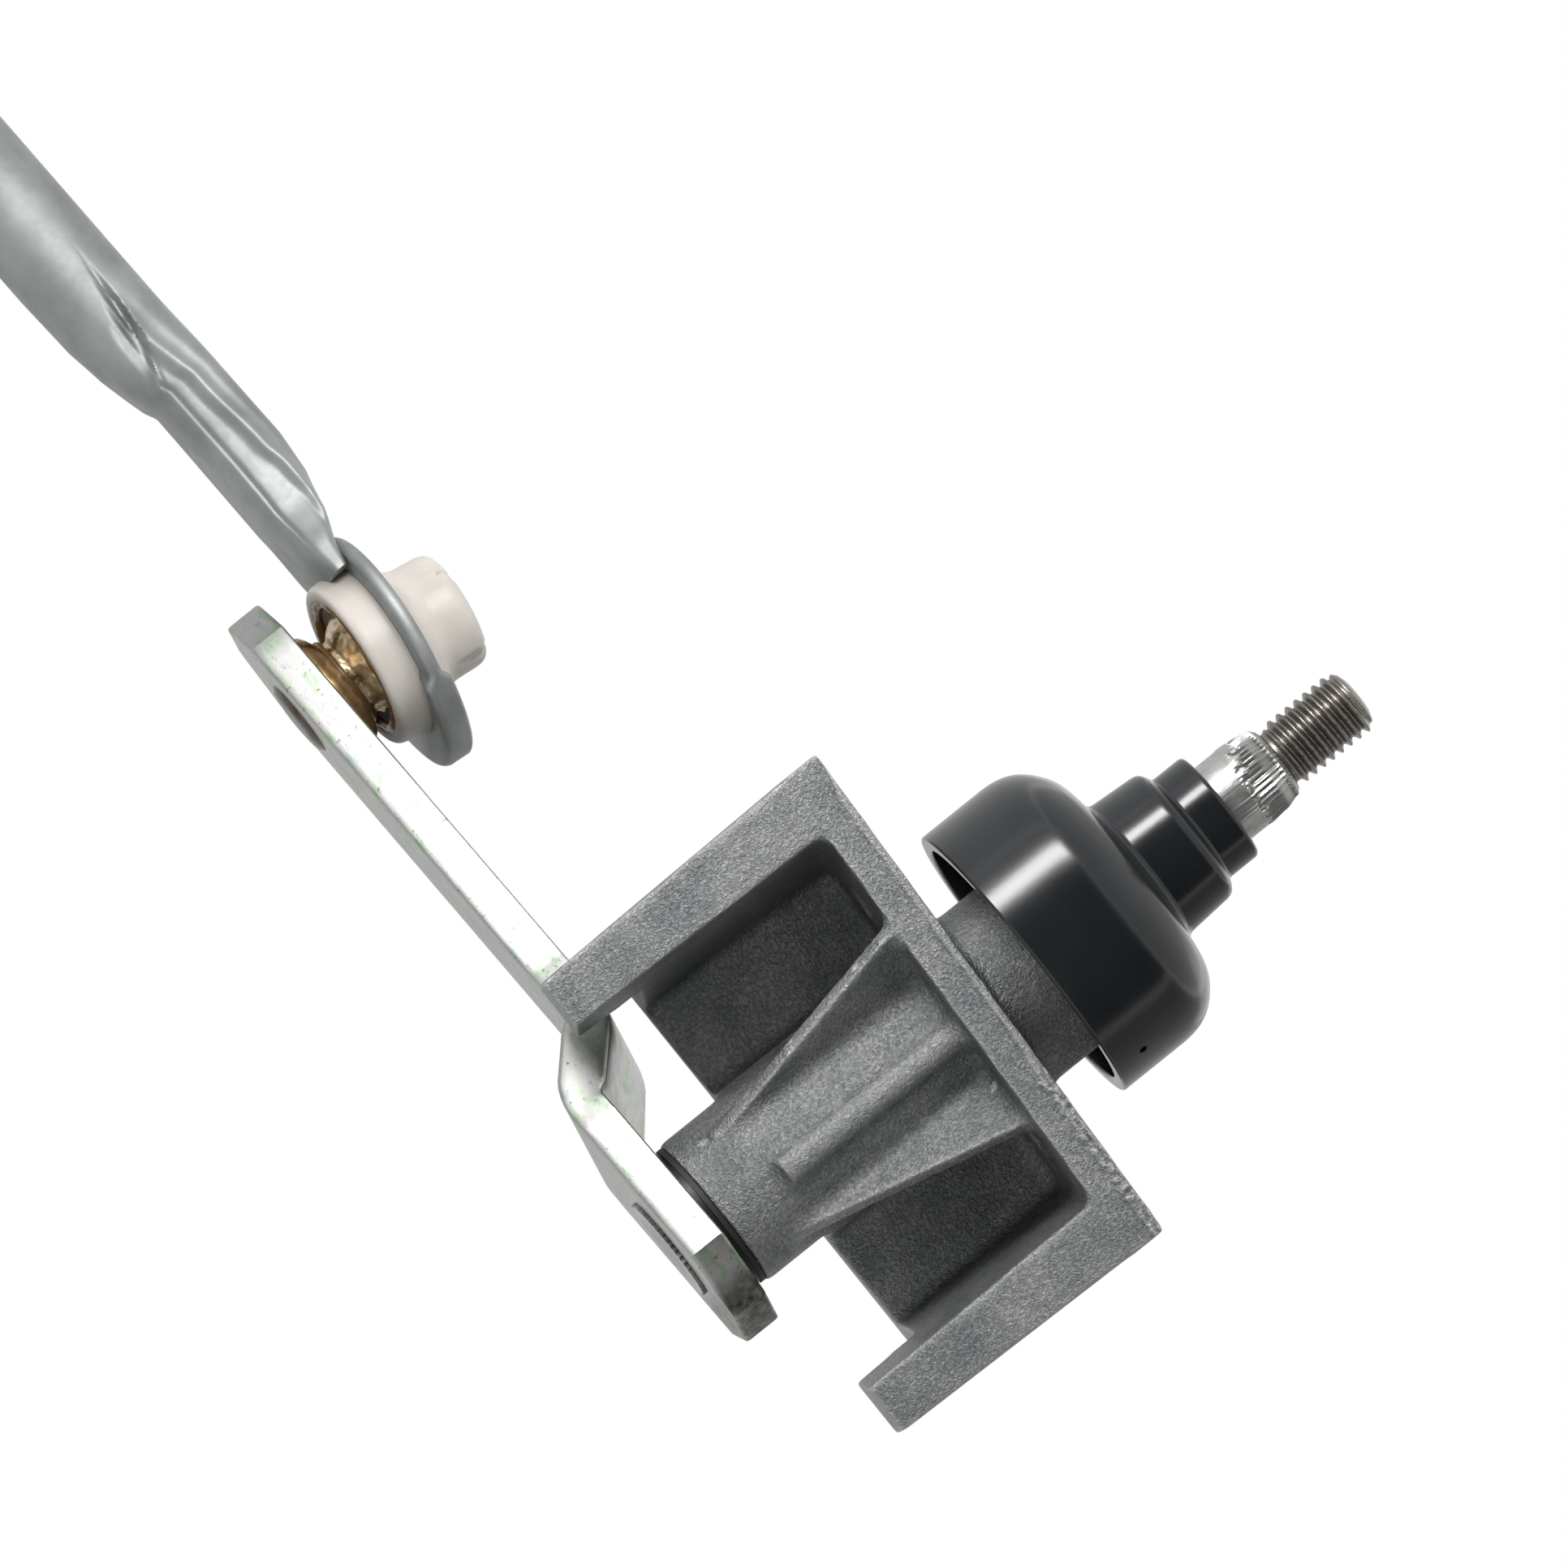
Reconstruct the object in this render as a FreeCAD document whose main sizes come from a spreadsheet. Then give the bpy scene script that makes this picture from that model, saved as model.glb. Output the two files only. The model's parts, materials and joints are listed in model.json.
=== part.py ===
"""Windshield wiper pivot with its crank lever and link rod, in millimetres.

+Z runs along the spindle to its threaded tip. The origin is on the spindle axis, in the
sloping face by which the housing seats under the cowl. The crank lever points to -X.
"""
import FreeCAD
import Part
import Sketcher
import math
import os

SIZES = {
    # housing: sloping flange, U-shaped channel open to -Y, boss and neck
    "flange_half_length": 32.3, "flange_thickness": 4.5, "flange_slope": 2.6,
    "flange_front": 14.0, "flange_back": 11.0, "cut_margin": 1.0,
    "arm_mouth": 24.9, "arm_foot": 21.6, "arm_tip": 37.8, "arm_tip_depth": 7.8,
    "arm_tip_lean": 1.0, "arm_draft": 1.2, "web_front": 6.0, "web_thickness": 3.0,
    "web_bottom": 29.4, "boss_radius": 9.5, "boss_length": 38.0,
    "neck_radius": 9.8, "neck_height": 17.2, "foot_relief": 0.6, "foot_relief_floor": 1.0,
    "key_reach": 12.2, "key_width": 7.0, "key_drop": 2.0,
    "gusset_reach": 18.3, "gusset_thickness": 1.7, "gusset_foot": 34.2, "root_overlap": 2.0,
    "left_gusset_angle": 42.0, "right_gusset_angle": 51.0,
    "rail_radius": 2.0, "rail_bottom": 29.9, "rail_offset": 1.2, "rail_inset": 0.3,
    "tie_front": 1.0, "tie_reach": 0.5, "screw_hole_radius": 2.8, "screw_hole_place": 16.2,
    # bearing of the spindle
    "spindle_radius": 5.0, "running_fit": 0.03, "bush_radius": 7.0, "bush_length": 12.0,
    "relief_radius": 6.2, "upper_bush_length": 9.5, "felt_length": 10.0, "felt_gap": 0.1,
    "seal_ring_radius": 9.2, "seal_ring_height": 0.6, "washer_radius": 9.0,
    "washer_thickness": 0.9, "ring_gap": 0.1, "upper_washer_radius": 6.6,
    # spindle
    "hub_knurl_radius": 6.4, "peen_height": 0.5, "shaft_top": 36.8, "belly_height": 39.2,
    "belly_radius": 4.9, "cone_top": 41.6, "cone_radius": 4.3, "thread_radius": 4.0,
    "undercut_radius": 3.3, "thread_start": 42.2, "thread_end": 53.2, "tip_chamfer": 1.1,
    "clip_groove_radius": 4.5, "clip_thickness": 1.0,
    "o_ring_place": 31.4, "o_ring_height": 1.4, "o_ring_depth": 0.7,
    # splash cap
    "cap_radius": 17.8, "cap_wall": 1.9, "cap_rim": 5.8, "cap_shoulder": 20.3,
    "shoulder_rise": 1.6, "shoulder_round": 5.0, "collar_radius": 8.9,
    "collar_top_radius": 8.45, "collar_end": 28.6, "neck_start": 29.5, "grip_radius": 6.85,
    "cap_top": 33.9, "collar_wall": 1.3, "cap_edge_round": 0.6,
    # crank lever
    "lever_length": 76.7, "lever_angle": 22.0, "lever_thickness": 4.45, "lever_joggle": 6.9,
    "ramp_start": 16.3, "ramp_end": 25.0, "hub_half_width": 13.0, "hub_side": 7.5,
    "hub_end": 12.8, "hub_end_half_width": 4.2, "arm_half_width": 9.5, "ball_end": 12.5,
    "ball_end_side": 6.0, "ball_end_half_width": 3.4, "waist_start": 12.0,
    "waist_end": 32.0, "trim_margin": 5.0,
    # ball stud and its socket
    "ball_radius": 7.0, "ball_height": 8.4, "stud_neck_radius": 4.5, "stud_base_radius": 7.4,
    "stud_base_height": 1.6, "stud_base_top": 5.6, "rivet_radius": 4.6, "rivet_height": 0.7,
    "rivet_draft": 0.5, "stud_shank_radius": 4.0, "ball_fit": 0.05, "skirt_radius": 10.4,
    "skirt_mouth_radius": 9.6, "skirt_depth": 5.4, "mouth_radius": 8.3, "grip_depth": 2.6,
    "dome_radius": 7.0, "dome_top": 8.8, "dome_start": 4.2, "dome_bevel": 1.6,
    "flare_radius": 9.9, "flare_height": 2.2,
    "dust_seal_radius": 5.6, "dust_seal_height": 0.8, "dust_seal_gap": 0.15,
    # link rod
    "rod_length": 300.0, "tube_radius": 5.9, "tube_wall": 1.2, "tube_start": 53.5,
    "eye_radius": 13.8, "eye_thickness": 1.8, "eye_hole_radius": 9.2, "eye_slope": 8.0,
    "crimp_start": 40.0, "crimp_end": 19.0, "crimp_half_width": 6.6,
    "crimp_half_height": 4.2, "crimp_rise": 1.8, "neck_rise": 1.0, "neck_place": 12.5,
    "neck_half_width": 8.0, "neck_half_height": 3.2,
    "rod_yaw": 8.0, "rod_roll": 6.5, "rod_fall": 1.6,
}

doc = FreeCAD.newDocument("wiper_pivot")


def make_sheet():
    """Put every driving size in a spreadsheet cell with its own alias."""
    sheet = doc.addObject("Spreadsheet::Sheet", "dims")
    for row, (name, value) in enumerate(SIZES.items(), start=1):
        sheet.set("A%d" % row, name.replace("_", " "))
        sheet.set("B%d" % row, str(value))
        sheet.setAlias("B%d" % row, name)
    doc.recompute()
    return sheet


sheet = make_sheet()


def new_body(name):
    """Start the body of one piece, labelled with the name of its node."""
    body = doc.addObject("PartDesign::Body", name)
    body.Label = name
    return body


def new_sketch(body, name, role, offset=None):
    """Attach a sketch to one of the body's own origin planes."""
    plane = next(item for item in body.Origin.OriginFeatures if item.Role == role)
    sketch = body.newObject("Sketcher::SketchObject", name)
    sketch.AttachmentSupport = [(plane, "")]
    sketch.MapMode = "FlatFace"
    if offset:
        sketch.AttachmentOffset = offset
    return sketch


def outline(sketch, corners):
    """Draw a closed outline whose corners are placed by expressions of the sheet."""
    count = len(corners)
    first = len(sketch.Geometry)
    turn = 2 * math.pi / count
    spots = [FreeCAD.Vector(9 * math.cos(turn * step), 9 * math.sin(turn * step), 0)
             for step in range(count + 1)]
    for step in range(count):
        sketch.addGeometry(Part.LineSegment(spots[step], spots[step + 1]), False)
    for step in range(count):
        following = first + (step + 1) % count
        sketch.addConstraint(Sketcher.Constraint("Coincident", first + step, 2, following, 1))
    for step, (across, along) in enumerate(corners):
        for kind, expression in (("DistanceX", across), ("DistanceY", along)):
            rule = Sketcher.Constraint(kind, -1, 1, first + step, 1, 1.0)
            place = sketch.addConstraint(rule)
            sketch.setExpression("Constraints[%d]" % place, expression)


def circle(sketch, radius, across="0", along="0"):
    """Draw a circle whose radius and centre are expressions of the sheet."""
    number = sketch.addGeometry(Part.Circle(FreeCAD.Vector(5, 5, 0),
                                            FreeCAD.Vector(0, 0, 1), 2), False)
    size = sketch.addConstraint(Sketcher.Constraint("Radius", number, 2.0))
    sketch.setExpression("Constraints[%d]" % size, radius)
    for kind, expression in (("DistanceX", across), ("DistanceY", along)):
        place = sketch.addConstraint(Sketcher.Constraint(kind, -1, 1, number, 3, 1.0))
        sketch.setExpression("Constraints[%d]" % place, expression)


def revolve(body, corners, name="Turned", kind="PartDesign::Revolution"):
    """Turn an outline of (radius, height) corners about the body's Z axis."""
    sketch = new_sketch(body, name + "Profile", "XZ_Plane")
    outline(sketch, corners)
    feature = body.newObject(kind, name)
    feature.Profile = sketch
    feature.ReferenceAxis = (sketch, ["V_Axis"])
    feature.Angle = 360.0
    return feature


def extrude(body, sketch, name, length, reverse=False, middle=False, kind="PartDesign::Pad"):
    """Pad or pocket a sketch by a length that is an expression of the sheet."""
    feature = body.newObject(kind, name)
    feature.Profile = sketch
    feature.setExpression("Length", length)
    feature.Reversed = reverse
    feature.Midplane = middle
    return feature


def ring(name, inner, outer, low, high):
    """A plain turned ring."""
    body = new_body(name)
    revolve(body, [(inner, low), (outer, low), (outer, high), (inner, high)])
    return body


def round_edges(body, name, radius, test):
    """Fillet the edges of the body's tip that pass the test, by a size of the sheet."""
    doc.recompute()
    base = body.Tip
    chosen = ["Edge%d" % number for number, edge in enumerate(base.Shape.Edges, start=1)
              if test(edge)]
    fillet = body.newObject("PartDesign::Fillet", name)
    fillet.Base = (base, chosen)
    fillet.setExpression("Radius", radius)
    return fillet


def shift(x=0.0, y=0.0, z=0.0, turn=None):
    """A placement made of a move and, where given, a rotation."""
    return FreeCAD.Placement(FreeCAD.Vector(x, y, z), turn or FreeCAD.Rotation())


def axis_turn(axis, angle):
    """A rotation about one of the axes, in degrees."""
    return FreeCAD.Rotation(FreeCAD.Vector(*axis), angle)


def make_housing():
    """Die-cast housing: flange, channel walls, boss with gussets and rail, neck and bores."""
    body = new_body("housing")
    sketch = new_sketch(body, "BossSection", "XY_Plane",
                        shift(z=-SIZES["boss_length"]))
    sketch.setExpression("AttachmentOffset.Base.z", "-dims.boss_length")
    circle(sketch, "dims.boss_radius")
    extrude(body, sketch, "Boss", "dims.boss_length - dims.flange_thickness / 2")
    make_flange(body)
    make_walls(body)
    make_foot_relief(body)
    make_neck(body)
    make_gussets(body)
    make_bores(body)
    return body


def make_flange(body):
    """Flange plate whose seating face slopes through the origin."""
    sketch = new_sketch(body, "FlangeSection", "XZ_Plane")
    rise = "dims.flange_half_length * tan(dims.flange_slope * 1deg)"
    outline(sketch, [
        ("-dims.flange_half_length", rise),
        ("dims.flange_half_length", "-" + rise),
        ("dims.flange_half_length", "-" + rise + " - dims.flange_thickness"),
        ("-dims.flange_half_length", rise + " - dims.flange_thickness")])
    extrude(body, sketch, "FlangeFront", "dims.flange_front")
    extrude(body, sketch, "FlangeBack", "dims.flange_back", reverse=True)


def make_walls(body):
    """Two side arms with the web between them, open towards -Y."""
    middle = "-dims.flange_thickness / 2"
    sketch = new_sketch(body, "ArmSection", "XY_Plane")
    sketch.setExpression("AttachmentOffset.Base.z", middle)
    for side in ("-", ""):
        outline(sketch, [
            (side + "dims.flange_half_length", "-dims.flange_front"),
            (side + "dims.arm_mouth", "-dims.flange_front"),
            (side + "dims.arm_foot", "dims.web_front"),
            (side + "dims.arm_foot", "dims.web_front + dims.web_thickness"),
            (side + "dims.flange_half_length", "dims.web_front + dims.web_thickness")])
    arms = extrude(body, sketch, "Arms", "dims.arm_tip - dims.flange_thickness / 2",
                   reverse=True)
    arms.setExpression("TaperAngle", "-dims.arm_draft * 1deg")
    sketch = new_sketch(body, "WebSection", "XY_Plane")
    sketch.setExpression("AttachmentOffset.Base.z", middle)
    outline(sketch, [
        ("-dims.arm_mouth", "dims.web_front"), ("dims.arm_mouth", "dims.web_front"),
        ("dims.arm_mouth", "dims.web_front + dims.web_thickness"),
        ("-dims.arm_mouth", "dims.web_front + dims.web_thickness")])
    extrude(body, sketch, "Web", "dims.web_bottom - dims.flange_thickness / 2", reverse=True)
    sketch = new_sketch(body, "ArmTipRelief", "YZ_Plane")
    outline(sketch, [
        ("dims.arm_tip_depth - dims.flange_front", "-dims.boss_length * 2"),
        ("dims.flange_back * 2", "-dims.boss_length * 2"),
        ("dims.flange_back * 2", "-dims.web_bottom"),
        ("dims.arm_tip_depth - dims.flange_front + dims.arm_tip_lean", "-dims.web_bottom")])
    for name, reverse in (("LeftTipCut", False), ("RightTipCut", True)):
        pocket = body.newObject("PartDesign::Pocket", name)
        pocket.Profile = sketch
        pocket.Type = 0
        pocket.Reversed = reverse
        pocket.setExpression("Length", "dims.flange_half_length * 1.5")
    sketch = new_sketch(body, "BossFootSection", "XY_Plane")
    sketch.setExpression("AttachmentOffset.Base.z", "-dims.boss_length")
    circle(sketch, "dims.boss_radius")
    extrude(body, sketch, "BossFoot", "dims.boss_length - dims.flange_thickness / 2")


def make_foot_relief(body):
    """Shallow sunk border round the foot of the neck and key, clear of the seating face."""
    sketch = new_sketch(body, "NeckRelief", "XY_Plane")
    sketch.setExpression("AttachmentOffset.Base.z", "dims.flange_thickness")
    circle(sketch, "dims.neck_radius + dims.foot_relief")
    extrude(body, sketch, "NeckReliefCut", "dims.flange_thickness + dims.foot_relief_floor",
            kind="PartDesign::Pocket")
    sketch = new_sketch(body, "KeyRelief", "XY_Plane")
    sketch.setExpression("AttachmentOffset.Base.z", "dims.flange_thickness")
    outline(sketch, [
        ("dims.relief_radius", "-dims.key_width - dims.foot_relief"),
        ("dims.key_reach + dims.foot_relief", "-dims.key_width / 2 - dims.foot_relief"),
        ("dims.key_reach + dims.foot_relief", "dims.key_width / 2 + dims.foot_relief"),
        ("dims.relief_radius", "dims.key_width + dims.foot_relief")])
    extrude(body, sketch, "KeyReliefCut", "dims.flange_thickness + dims.foot_relief_floor",
            kind="PartDesign::Pocket")


def make_neck(body):
    """Neck above the flange, with the locating key on its +X side."""
    sketch = new_sketch(body, "NeckSection", "XY_Plane")
    sketch.setExpression("AttachmentOffset.Base.z", "-dims.flange_thickness / 2")
    circle(sketch, "dims.neck_radius")
    extrude(body, sketch, "Neck", "dims.neck_height + dims.flange_thickness / 2")
    sketch = new_sketch(body, "KeySection", "XY_Plane")
    sketch.setExpression("AttachmentOffset.Base.z", "-dims.flange_thickness / 2")
    outline(sketch, [
        ("dims.relief_radius", "-dims.key_width"), ("dims.key_reach", "-dims.key_width / 2"),
        ("dims.key_reach", "dims.key_width / 2"), ("dims.relief_radius", "dims.key_width")])
    extrude(body, sketch, "Key", "dims.neck_height - dims.key_drop + dims.flange_thickness / 2")


def make_gussets(body):
    """Two front gussets, the rail between them, and the ribs that tie the boss to the web."""
    root = "dims.boss_radius - dims.root_overlap"
    for name, side in (("LeftGusset", -1), ("RightGusset", 1)):
        sketch = new_sketch(body, name + "Outline", "XZ_Plane")
        turn = "(90 - dims.%s_gusset_angle) * 1deg" % ("right" if side > 0 else "left")
        sketch.AttachmentOffset = shift(turn=axis_turn((0, -1, 0), 10))
        sketch.setExpression("AttachmentOffset.Rotation.Angle",
                             turn if side > 0 else "180deg - " + turn)
        outline(sketch, [
            (root, "-dims.gusset_foot"), ("dims.boss_radius", "-dims.gusset_foot"),
            ("dims.gusset_reach", "-dims.flange_thickness - dims.cut_margin"),
            ("dims.gusset_reach", "-dims.flange_thickness / 2"),
            (root, "-dims.flange_thickness / 2")])
        extrude(body, sketch, name, "dims.gusset_thickness", middle=True)
    sketch = new_sketch(body, "RailSection", "XY_Plane")
    sketch.setExpression("AttachmentOffset.Base.z", "-dims.rail_bottom")
    circle(sketch, "dims.rail_radius", "dims.rail_offset", "dims.rail_inset - dims.boss_radius")
    extrude(body, sketch, "Rail", "dims.rail_bottom - dims.flange_thickness / 2")
    sketch = new_sketch(body, "TieSection", "XY_Plane")
    sketch.setExpression("AttachmentOffset.Base.z", "-dims.web_bottom")
    half = "(dims.boss_radius + dims.tie_reach)"
    back = "dims.web_front + dims.web_thickness / 2"
    for side in ("-", ""):
        outline(sketch, [
            (side + half, back), (side + half, "dims.tie_front"),
            (side + "dims.relief_radius", "dims.tie_front"),
            (side + "dims.relief_radius", back)])
    extrude(body, sketch, "Ties", "dims.web_bottom - dims.flange_thickness / 2")


def make_bores(body):
    """Bush seats, the relief between them and the two screw holes of the flange."""
    high_seat = "dims.neck_height - dims.bush_length"
    below = "-dims.boss_length - dims.cut_margin"
    above = "dims.neck_height + dims.cut_margin"
    revolve(body, [
        ("0", below), ("dims.bush_radius", below),
        ("dims.bush_radius", "dims.bush_length - dims.boss_length"),
        ("dims.relief_radius", "dims.bush_length - dims.boss_length"),
        ("dims.relief_radius", high_seat), ("dims.bush_radius", high_seat),
        ("dims.bush_radius", above), ("0", above)],
        "Bore", "PartDesign::Groove")
    sketch = new_sketch(body, "ScrewHoles", "XY_Plane")
    sketch.setExpression("AttachmentOffset.Base.z", "dims.flange_thickness")
    for side in ("-", ""):
        circle(sketch, "dims.screw_hole_radius", side + "dims.screw_hole_place")
    extrude(body, sketch, "ScrewHoleCut", "dims.flange_thickness * 3", kind="PartDesign::Pocket")


def make_bearing():
    """Bushes, felt and seals that sit in the housing, and the washers on the spindle."""
    bore = "dims.spindle_radius + dims.running_fit"
    seat_top = "dims.bush_length - dims.boss_length"
    ring("lower_bush", bore, "dims.bush_radius", "-dims.boss_length", seat_top)
    high_seat = "dims.neck_height - dims.bush_length"
    ring("upper_bush", bore, "dims.bush_radius", high_seat,
         high_seat + " + dims.upper_bush_length")
    ring("upper_seal", bore, "dims.bush_radius", high_seat + " + dims.upper_bush_length",
         "dims.neck_height")
    ring("oil_felt", "dims.spindle_radius + dims.felt_gap", "dims.relief_radius",
         high_seat + " - dims.felt_length", high_seat)
    loose = "dims.spindle_radius + dims.ring_gap"
    ring("lower_seal_ring", loose, "dims.seal_ring_radius",
         "-dims.boss_length - dims.seal_ring_height", "-dims.boss_length")
    ring("lower_thrust_washer", loose, "dims.washer_radius",
         "-dims.boss_length - dims.seal_ring_height - dims.washer_thickness",
         "-dims.boss_length - dims.seal_ring_height")
    ring("upper_thrust_washer", loose, "dims.upper_washer_radius", "dims.neck_height",
         "dims.neck_height + dims.washer_thickness")
    wave_low = "dims.neck_height + dims.washer_thickness"
    ring("wave_washer", loose, "dims.upper_washer_radius", wave_low,
         wave_low + " + dims.washer_thickness")
    clip_low = "dims.neck_height + 2 * dims.washer_thickness"
    ring("circlip", "dims.clip_groove_radius", "dims.upper_washer_radius", clip_low,
         clip_low + " + dims.clip_thickness")
    ring("cap_o_ring", "dims.spindle_radius - dims.o_ring_depth",
         "dims.spindle_radius + dims.o_ring_depth / 2",
         "dims.o_ring_place", "dims.o_ring_place + dims.o_ring_height")


def lever_top():
    """Height of the hub's upper face, under the lower washers."""
    return "(-dims.boss_length - dims.seal_ring_height - dims.washer_thickness)"


def make_spindle():
    """Stepped spindle: peened hub end, shaft, cone for the wiper arm and threaded tip."""
    body = new_body("spindle")
    low = lever_top() + " - dims.lever_thickness - dims.peen_height"
    clip_low = "dims.neck_height + 2 * dims.washer_thickness"
    clip_high = clip_low + " + dims.clip_thickness"
    ring_floor = "dims.spindle_radius - dims.o_ring_depth"
    ring_top = "dims.o_ring_place + dims.o_ring_height"
    revolve(body, [
        ("0", low), ("dims.hub_knurl_radius", low), ("dims.hub_knurl_radius", lever_top()),
        ("dims.spindle_radius", lever_top()), ("dims.spindle_radius", clip_low),
        ("dims.clip_groove_radius", clip_low), ("dims.clip_groove_radius", clip_high),
        ("dims.spindle_radius", clip_high), ("dims.spindle_radius", "dims.o_ring_place"),
        (ring_floor, "dims.o_ring_place"), (ring_floor, ring_top),
        ("dims.spindle_radius", ring_top), ("dims.spindle_radius", "dims.shaft_top"),
        ("dims.belly_radius", "dims.belly_height"), ("dims.cone_radius", "dims.cone_top"),
        ("dims.undercut_radius", "dims.cone_top"),
        ("dims.undercut_radius", "dims.thread_start"),
        ("dims.thread_radius", "dims.thread_start"),
        ("dims.thread_radius", "dims.thread_end - dims.tip_chamfer"),
        ("dims.thread_radius - dims.tip_chamfer", "dims.thread_end"), ("0", "dims.thread_end")])
    return body


def make_splash_cap():
    """Stepped plastic cap that grips the spindle and hangs round the neck."""
    body = new_body("splash_cap")
    inner_collar = "dims.collar_radius - dims.collar_wall"
    roof = "dims.cap_shoulder - dims.cap_wall"
    ring_outer = "dims.spindle_radius + dims.o_ring_depth / 2"
    ring_top = "dims.o_ring_place + dims.o_ring_height"
    revolve(body, [
        ("dims.cap_radius", "dims.cap_rim"), ("dims.cap_radius", "dims.cap_shoulder"),
        ("dims.collar_radius", "dims.cap_shoulder + dims.shoulder_rise"),
        ("dims.collar_top_radius", "dims.collar_end"), ("dims.grip_radius", "dims.neck_start"),
        ("dims.grip_radius", "dims.cap_top"), ("dims.spindle_radius", "dims.cap_top"),
        ("dims.spindle_radius", ring_top), (ring_outer, ring_top),
        (ring_outer, "dims.o_ring_place"), ("dims.spindle_radius", "dims.o_ring_place"),
        ("dims.spindle_radius", "dims.neck_start - dims.collar_wall"),
        ("dims.collar_top_radius - dims.collar_wall", "dims.collar_end - dims.collar_wall"),
        (inner_collar, roof + " + dims.shoulder_rise"),
        ("dims.cap_radius - dims.cap_wall", roof),
        ("dims.cap_radius - dims.cap_wall", "dims.cap_rim")])
    radius = SIZES["cap_radius"]
    shoulder = SIZES["cap_shoulder"]
    wall = SIZES["cap_wall"]
    round_edges(body, "ShoulderRound", "dims.shoulder_round",
                lambda edge: is_ring(edge, radius, shoulder))
    round_edges(body, "InnerShoulderRound", "dims.shoulder_round - dims.cap_wall",
                lambda edge: is_ring(edge, radius - wall, shoulder - wall))
    round_edges(body, "CollarRound", "dims.cap_edge_round * 2",
                lambda edge: is_ring(edge, SIZES["collar_top_radius"], SIZES["collar_end"]))
    round_edges(body, "TopRound", "dims.cap_edge_round",
                lambda edge: is_ring(edge, SIZES["grip_radius"], SIZES["cap_top"]))
    return body


def is_ring(edge, radius, height):
    """True for a circular edge about the Z axis with this radius and height."""
    curve = edge.Curve
    if not isinstance(curve, Part.Circle):
        return False
    return abs(curve.Radius - radius) < 1e-3 and abs(curve.Center.z - height) < 1e-3


def make_crank_lever():
    """Stamped lever with a joggle, faceted ends and holes for the spindle and the stud."""
    body = new_body("crank_lever")
    top = lever_top()
    far = "(-dims.lever_length - dims.ball_end)"
    above = top + " + dims.lever_joggle + dims.cut_margin"
    through = "dims.lever_joggle + dims.lever_thickness + 2 * dims.cut_margin"
    sketch = new_sketch(body, "SideProfile", "XZ_Plane")
    outline(sketch, [
        ("dims.hub_end", top), ("-dims.ramp_start", top),
        ("-dims.ramp_end", top + " + dims.lever_joggle"), (far, top + " + dims.lever_joggle"),
        (far, top + " + dims.lever_joggle - dims.lever_thickness"),
        ("-dims.ramp_end", top + " + dims.lever_joggle - dims.lever_thickness"),
        ("-dims.ramp_start", top + " - dims.lever_thickness"),
        ("dims.hub_end", top + " - dims.lever_thickness")])
    extrude(body, sketch, "Strip", "dims.hub_half_width * 2", middle=True)
    sketch = new_sketch(body, "PlanTrim", "XY_Plane")
    sketch.setExpression("AttachmentOffset.Base.z", above)
    ball_side = "(-dims.lever_length - dims.ball_end_side)"
    half = [
        ("dims.hub_end", "dims.hub_end_half_width"), ("dims.hub_side", "dims.hub_half_width"),
        ("-dims.waist_start", "dims.hub_half_width"), ("-dims.waist_end", "dims.arm_half_width"),
        (ball_side, "dims.arm_half_width"), (far, "dims.ball_end_half_width")]
    other_half = [(across, "-" + along) for across, along in reversed(half)]
    outline(sketch, half + other_half)
    beyond = far + " - dims.trim_margin"
    before = "dims.hub_end + dims.trim_margin"
    beside = "(dims.hub_half_width + dims.trim_margin)"
    outline(sketch, [(beyond, beside), (before, beside),
                     (before, "-" + beside), (beyond, "-" + beside)])
    extrude(body, sketch, "PlanCut", through, kind="PartDesign::Pocket")
    sketch = new_sketch(body, "Holes", "XY_Plane")
    sketch.setExpression("AttachmentOffset.Base.z", above)
    circle(sketch, "dims.hub_knurl_radius")
    circle(sketch, "dims.stud_shank_radius", "-dims.lever_length")
    extrude(body, sketch, "HoleCut", through, kind="PartDesign::Pocket")
    body.Placement = shift(turn=axis_turn((0, 0, -1), SIZES["lever_angle"]))
    body.setExpression("Placement.Rotation.Angle", "dims.lever_angle * 1deg")
    return body


def ball_place():
    """Centre of the ball at the lever's far end."""
    angle = math.radians(SIZES["lever_angle"])
    stack = SIZES["seal_ring_height"] + SIZES["washer_thickness"]
    height = SIZES["lever_joggle"] + SIZES["ball_height"] - SIZES["boss_length"] - stack
    reach = SIZES["lever_length"]
    return FreeCAD.Vector(-reach * math.cos(angle), reach * math.sin(angle), height)


def make_ball_stud():
    """Ball stud riveted through the lever; its own origin is the ball's centre."""
    body = new_body("ball_stud")
    neck_drop = "sqrt(dims.ball_radius ^ 2 - dims.stud_neck_radius ^ 2)"
    base = "-dims.ball_height"
    rivet_top = "-dims.ball_height - dims.lever_thickness"
    revolve(body, [
        ("0", "-" + neck_drop), ("dims.stud_neck_radius", "-" + neck_drop),
        ("dims.stud_neck_radius", base + " + dims.stud_base_height"),
        ("dims.stud_base_top", base + " + dims.stud_base_height"),
        ("dims.stud_base_radius", base), ("dims.stud_shank_radius", base),
        ("dims.stud_shank_radius", rivet_top), ("dims.rivet_radius", rivet_top),
        ("dims.rivet_radius - dims.rivet_draft", rivet_top + " - dims.rivet_height"),
        ("0", rivet_top + " - dims.rivet_height")])
    ball = body.newObject("PartDesign::AdditiveSphere", "Ball")
    ball.setExpression("Radius", "dims.ball_radius")
    body.Placement = FreeCAD.Placement(ball_place(), FreeCAD.Rotation())
    return body


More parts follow.
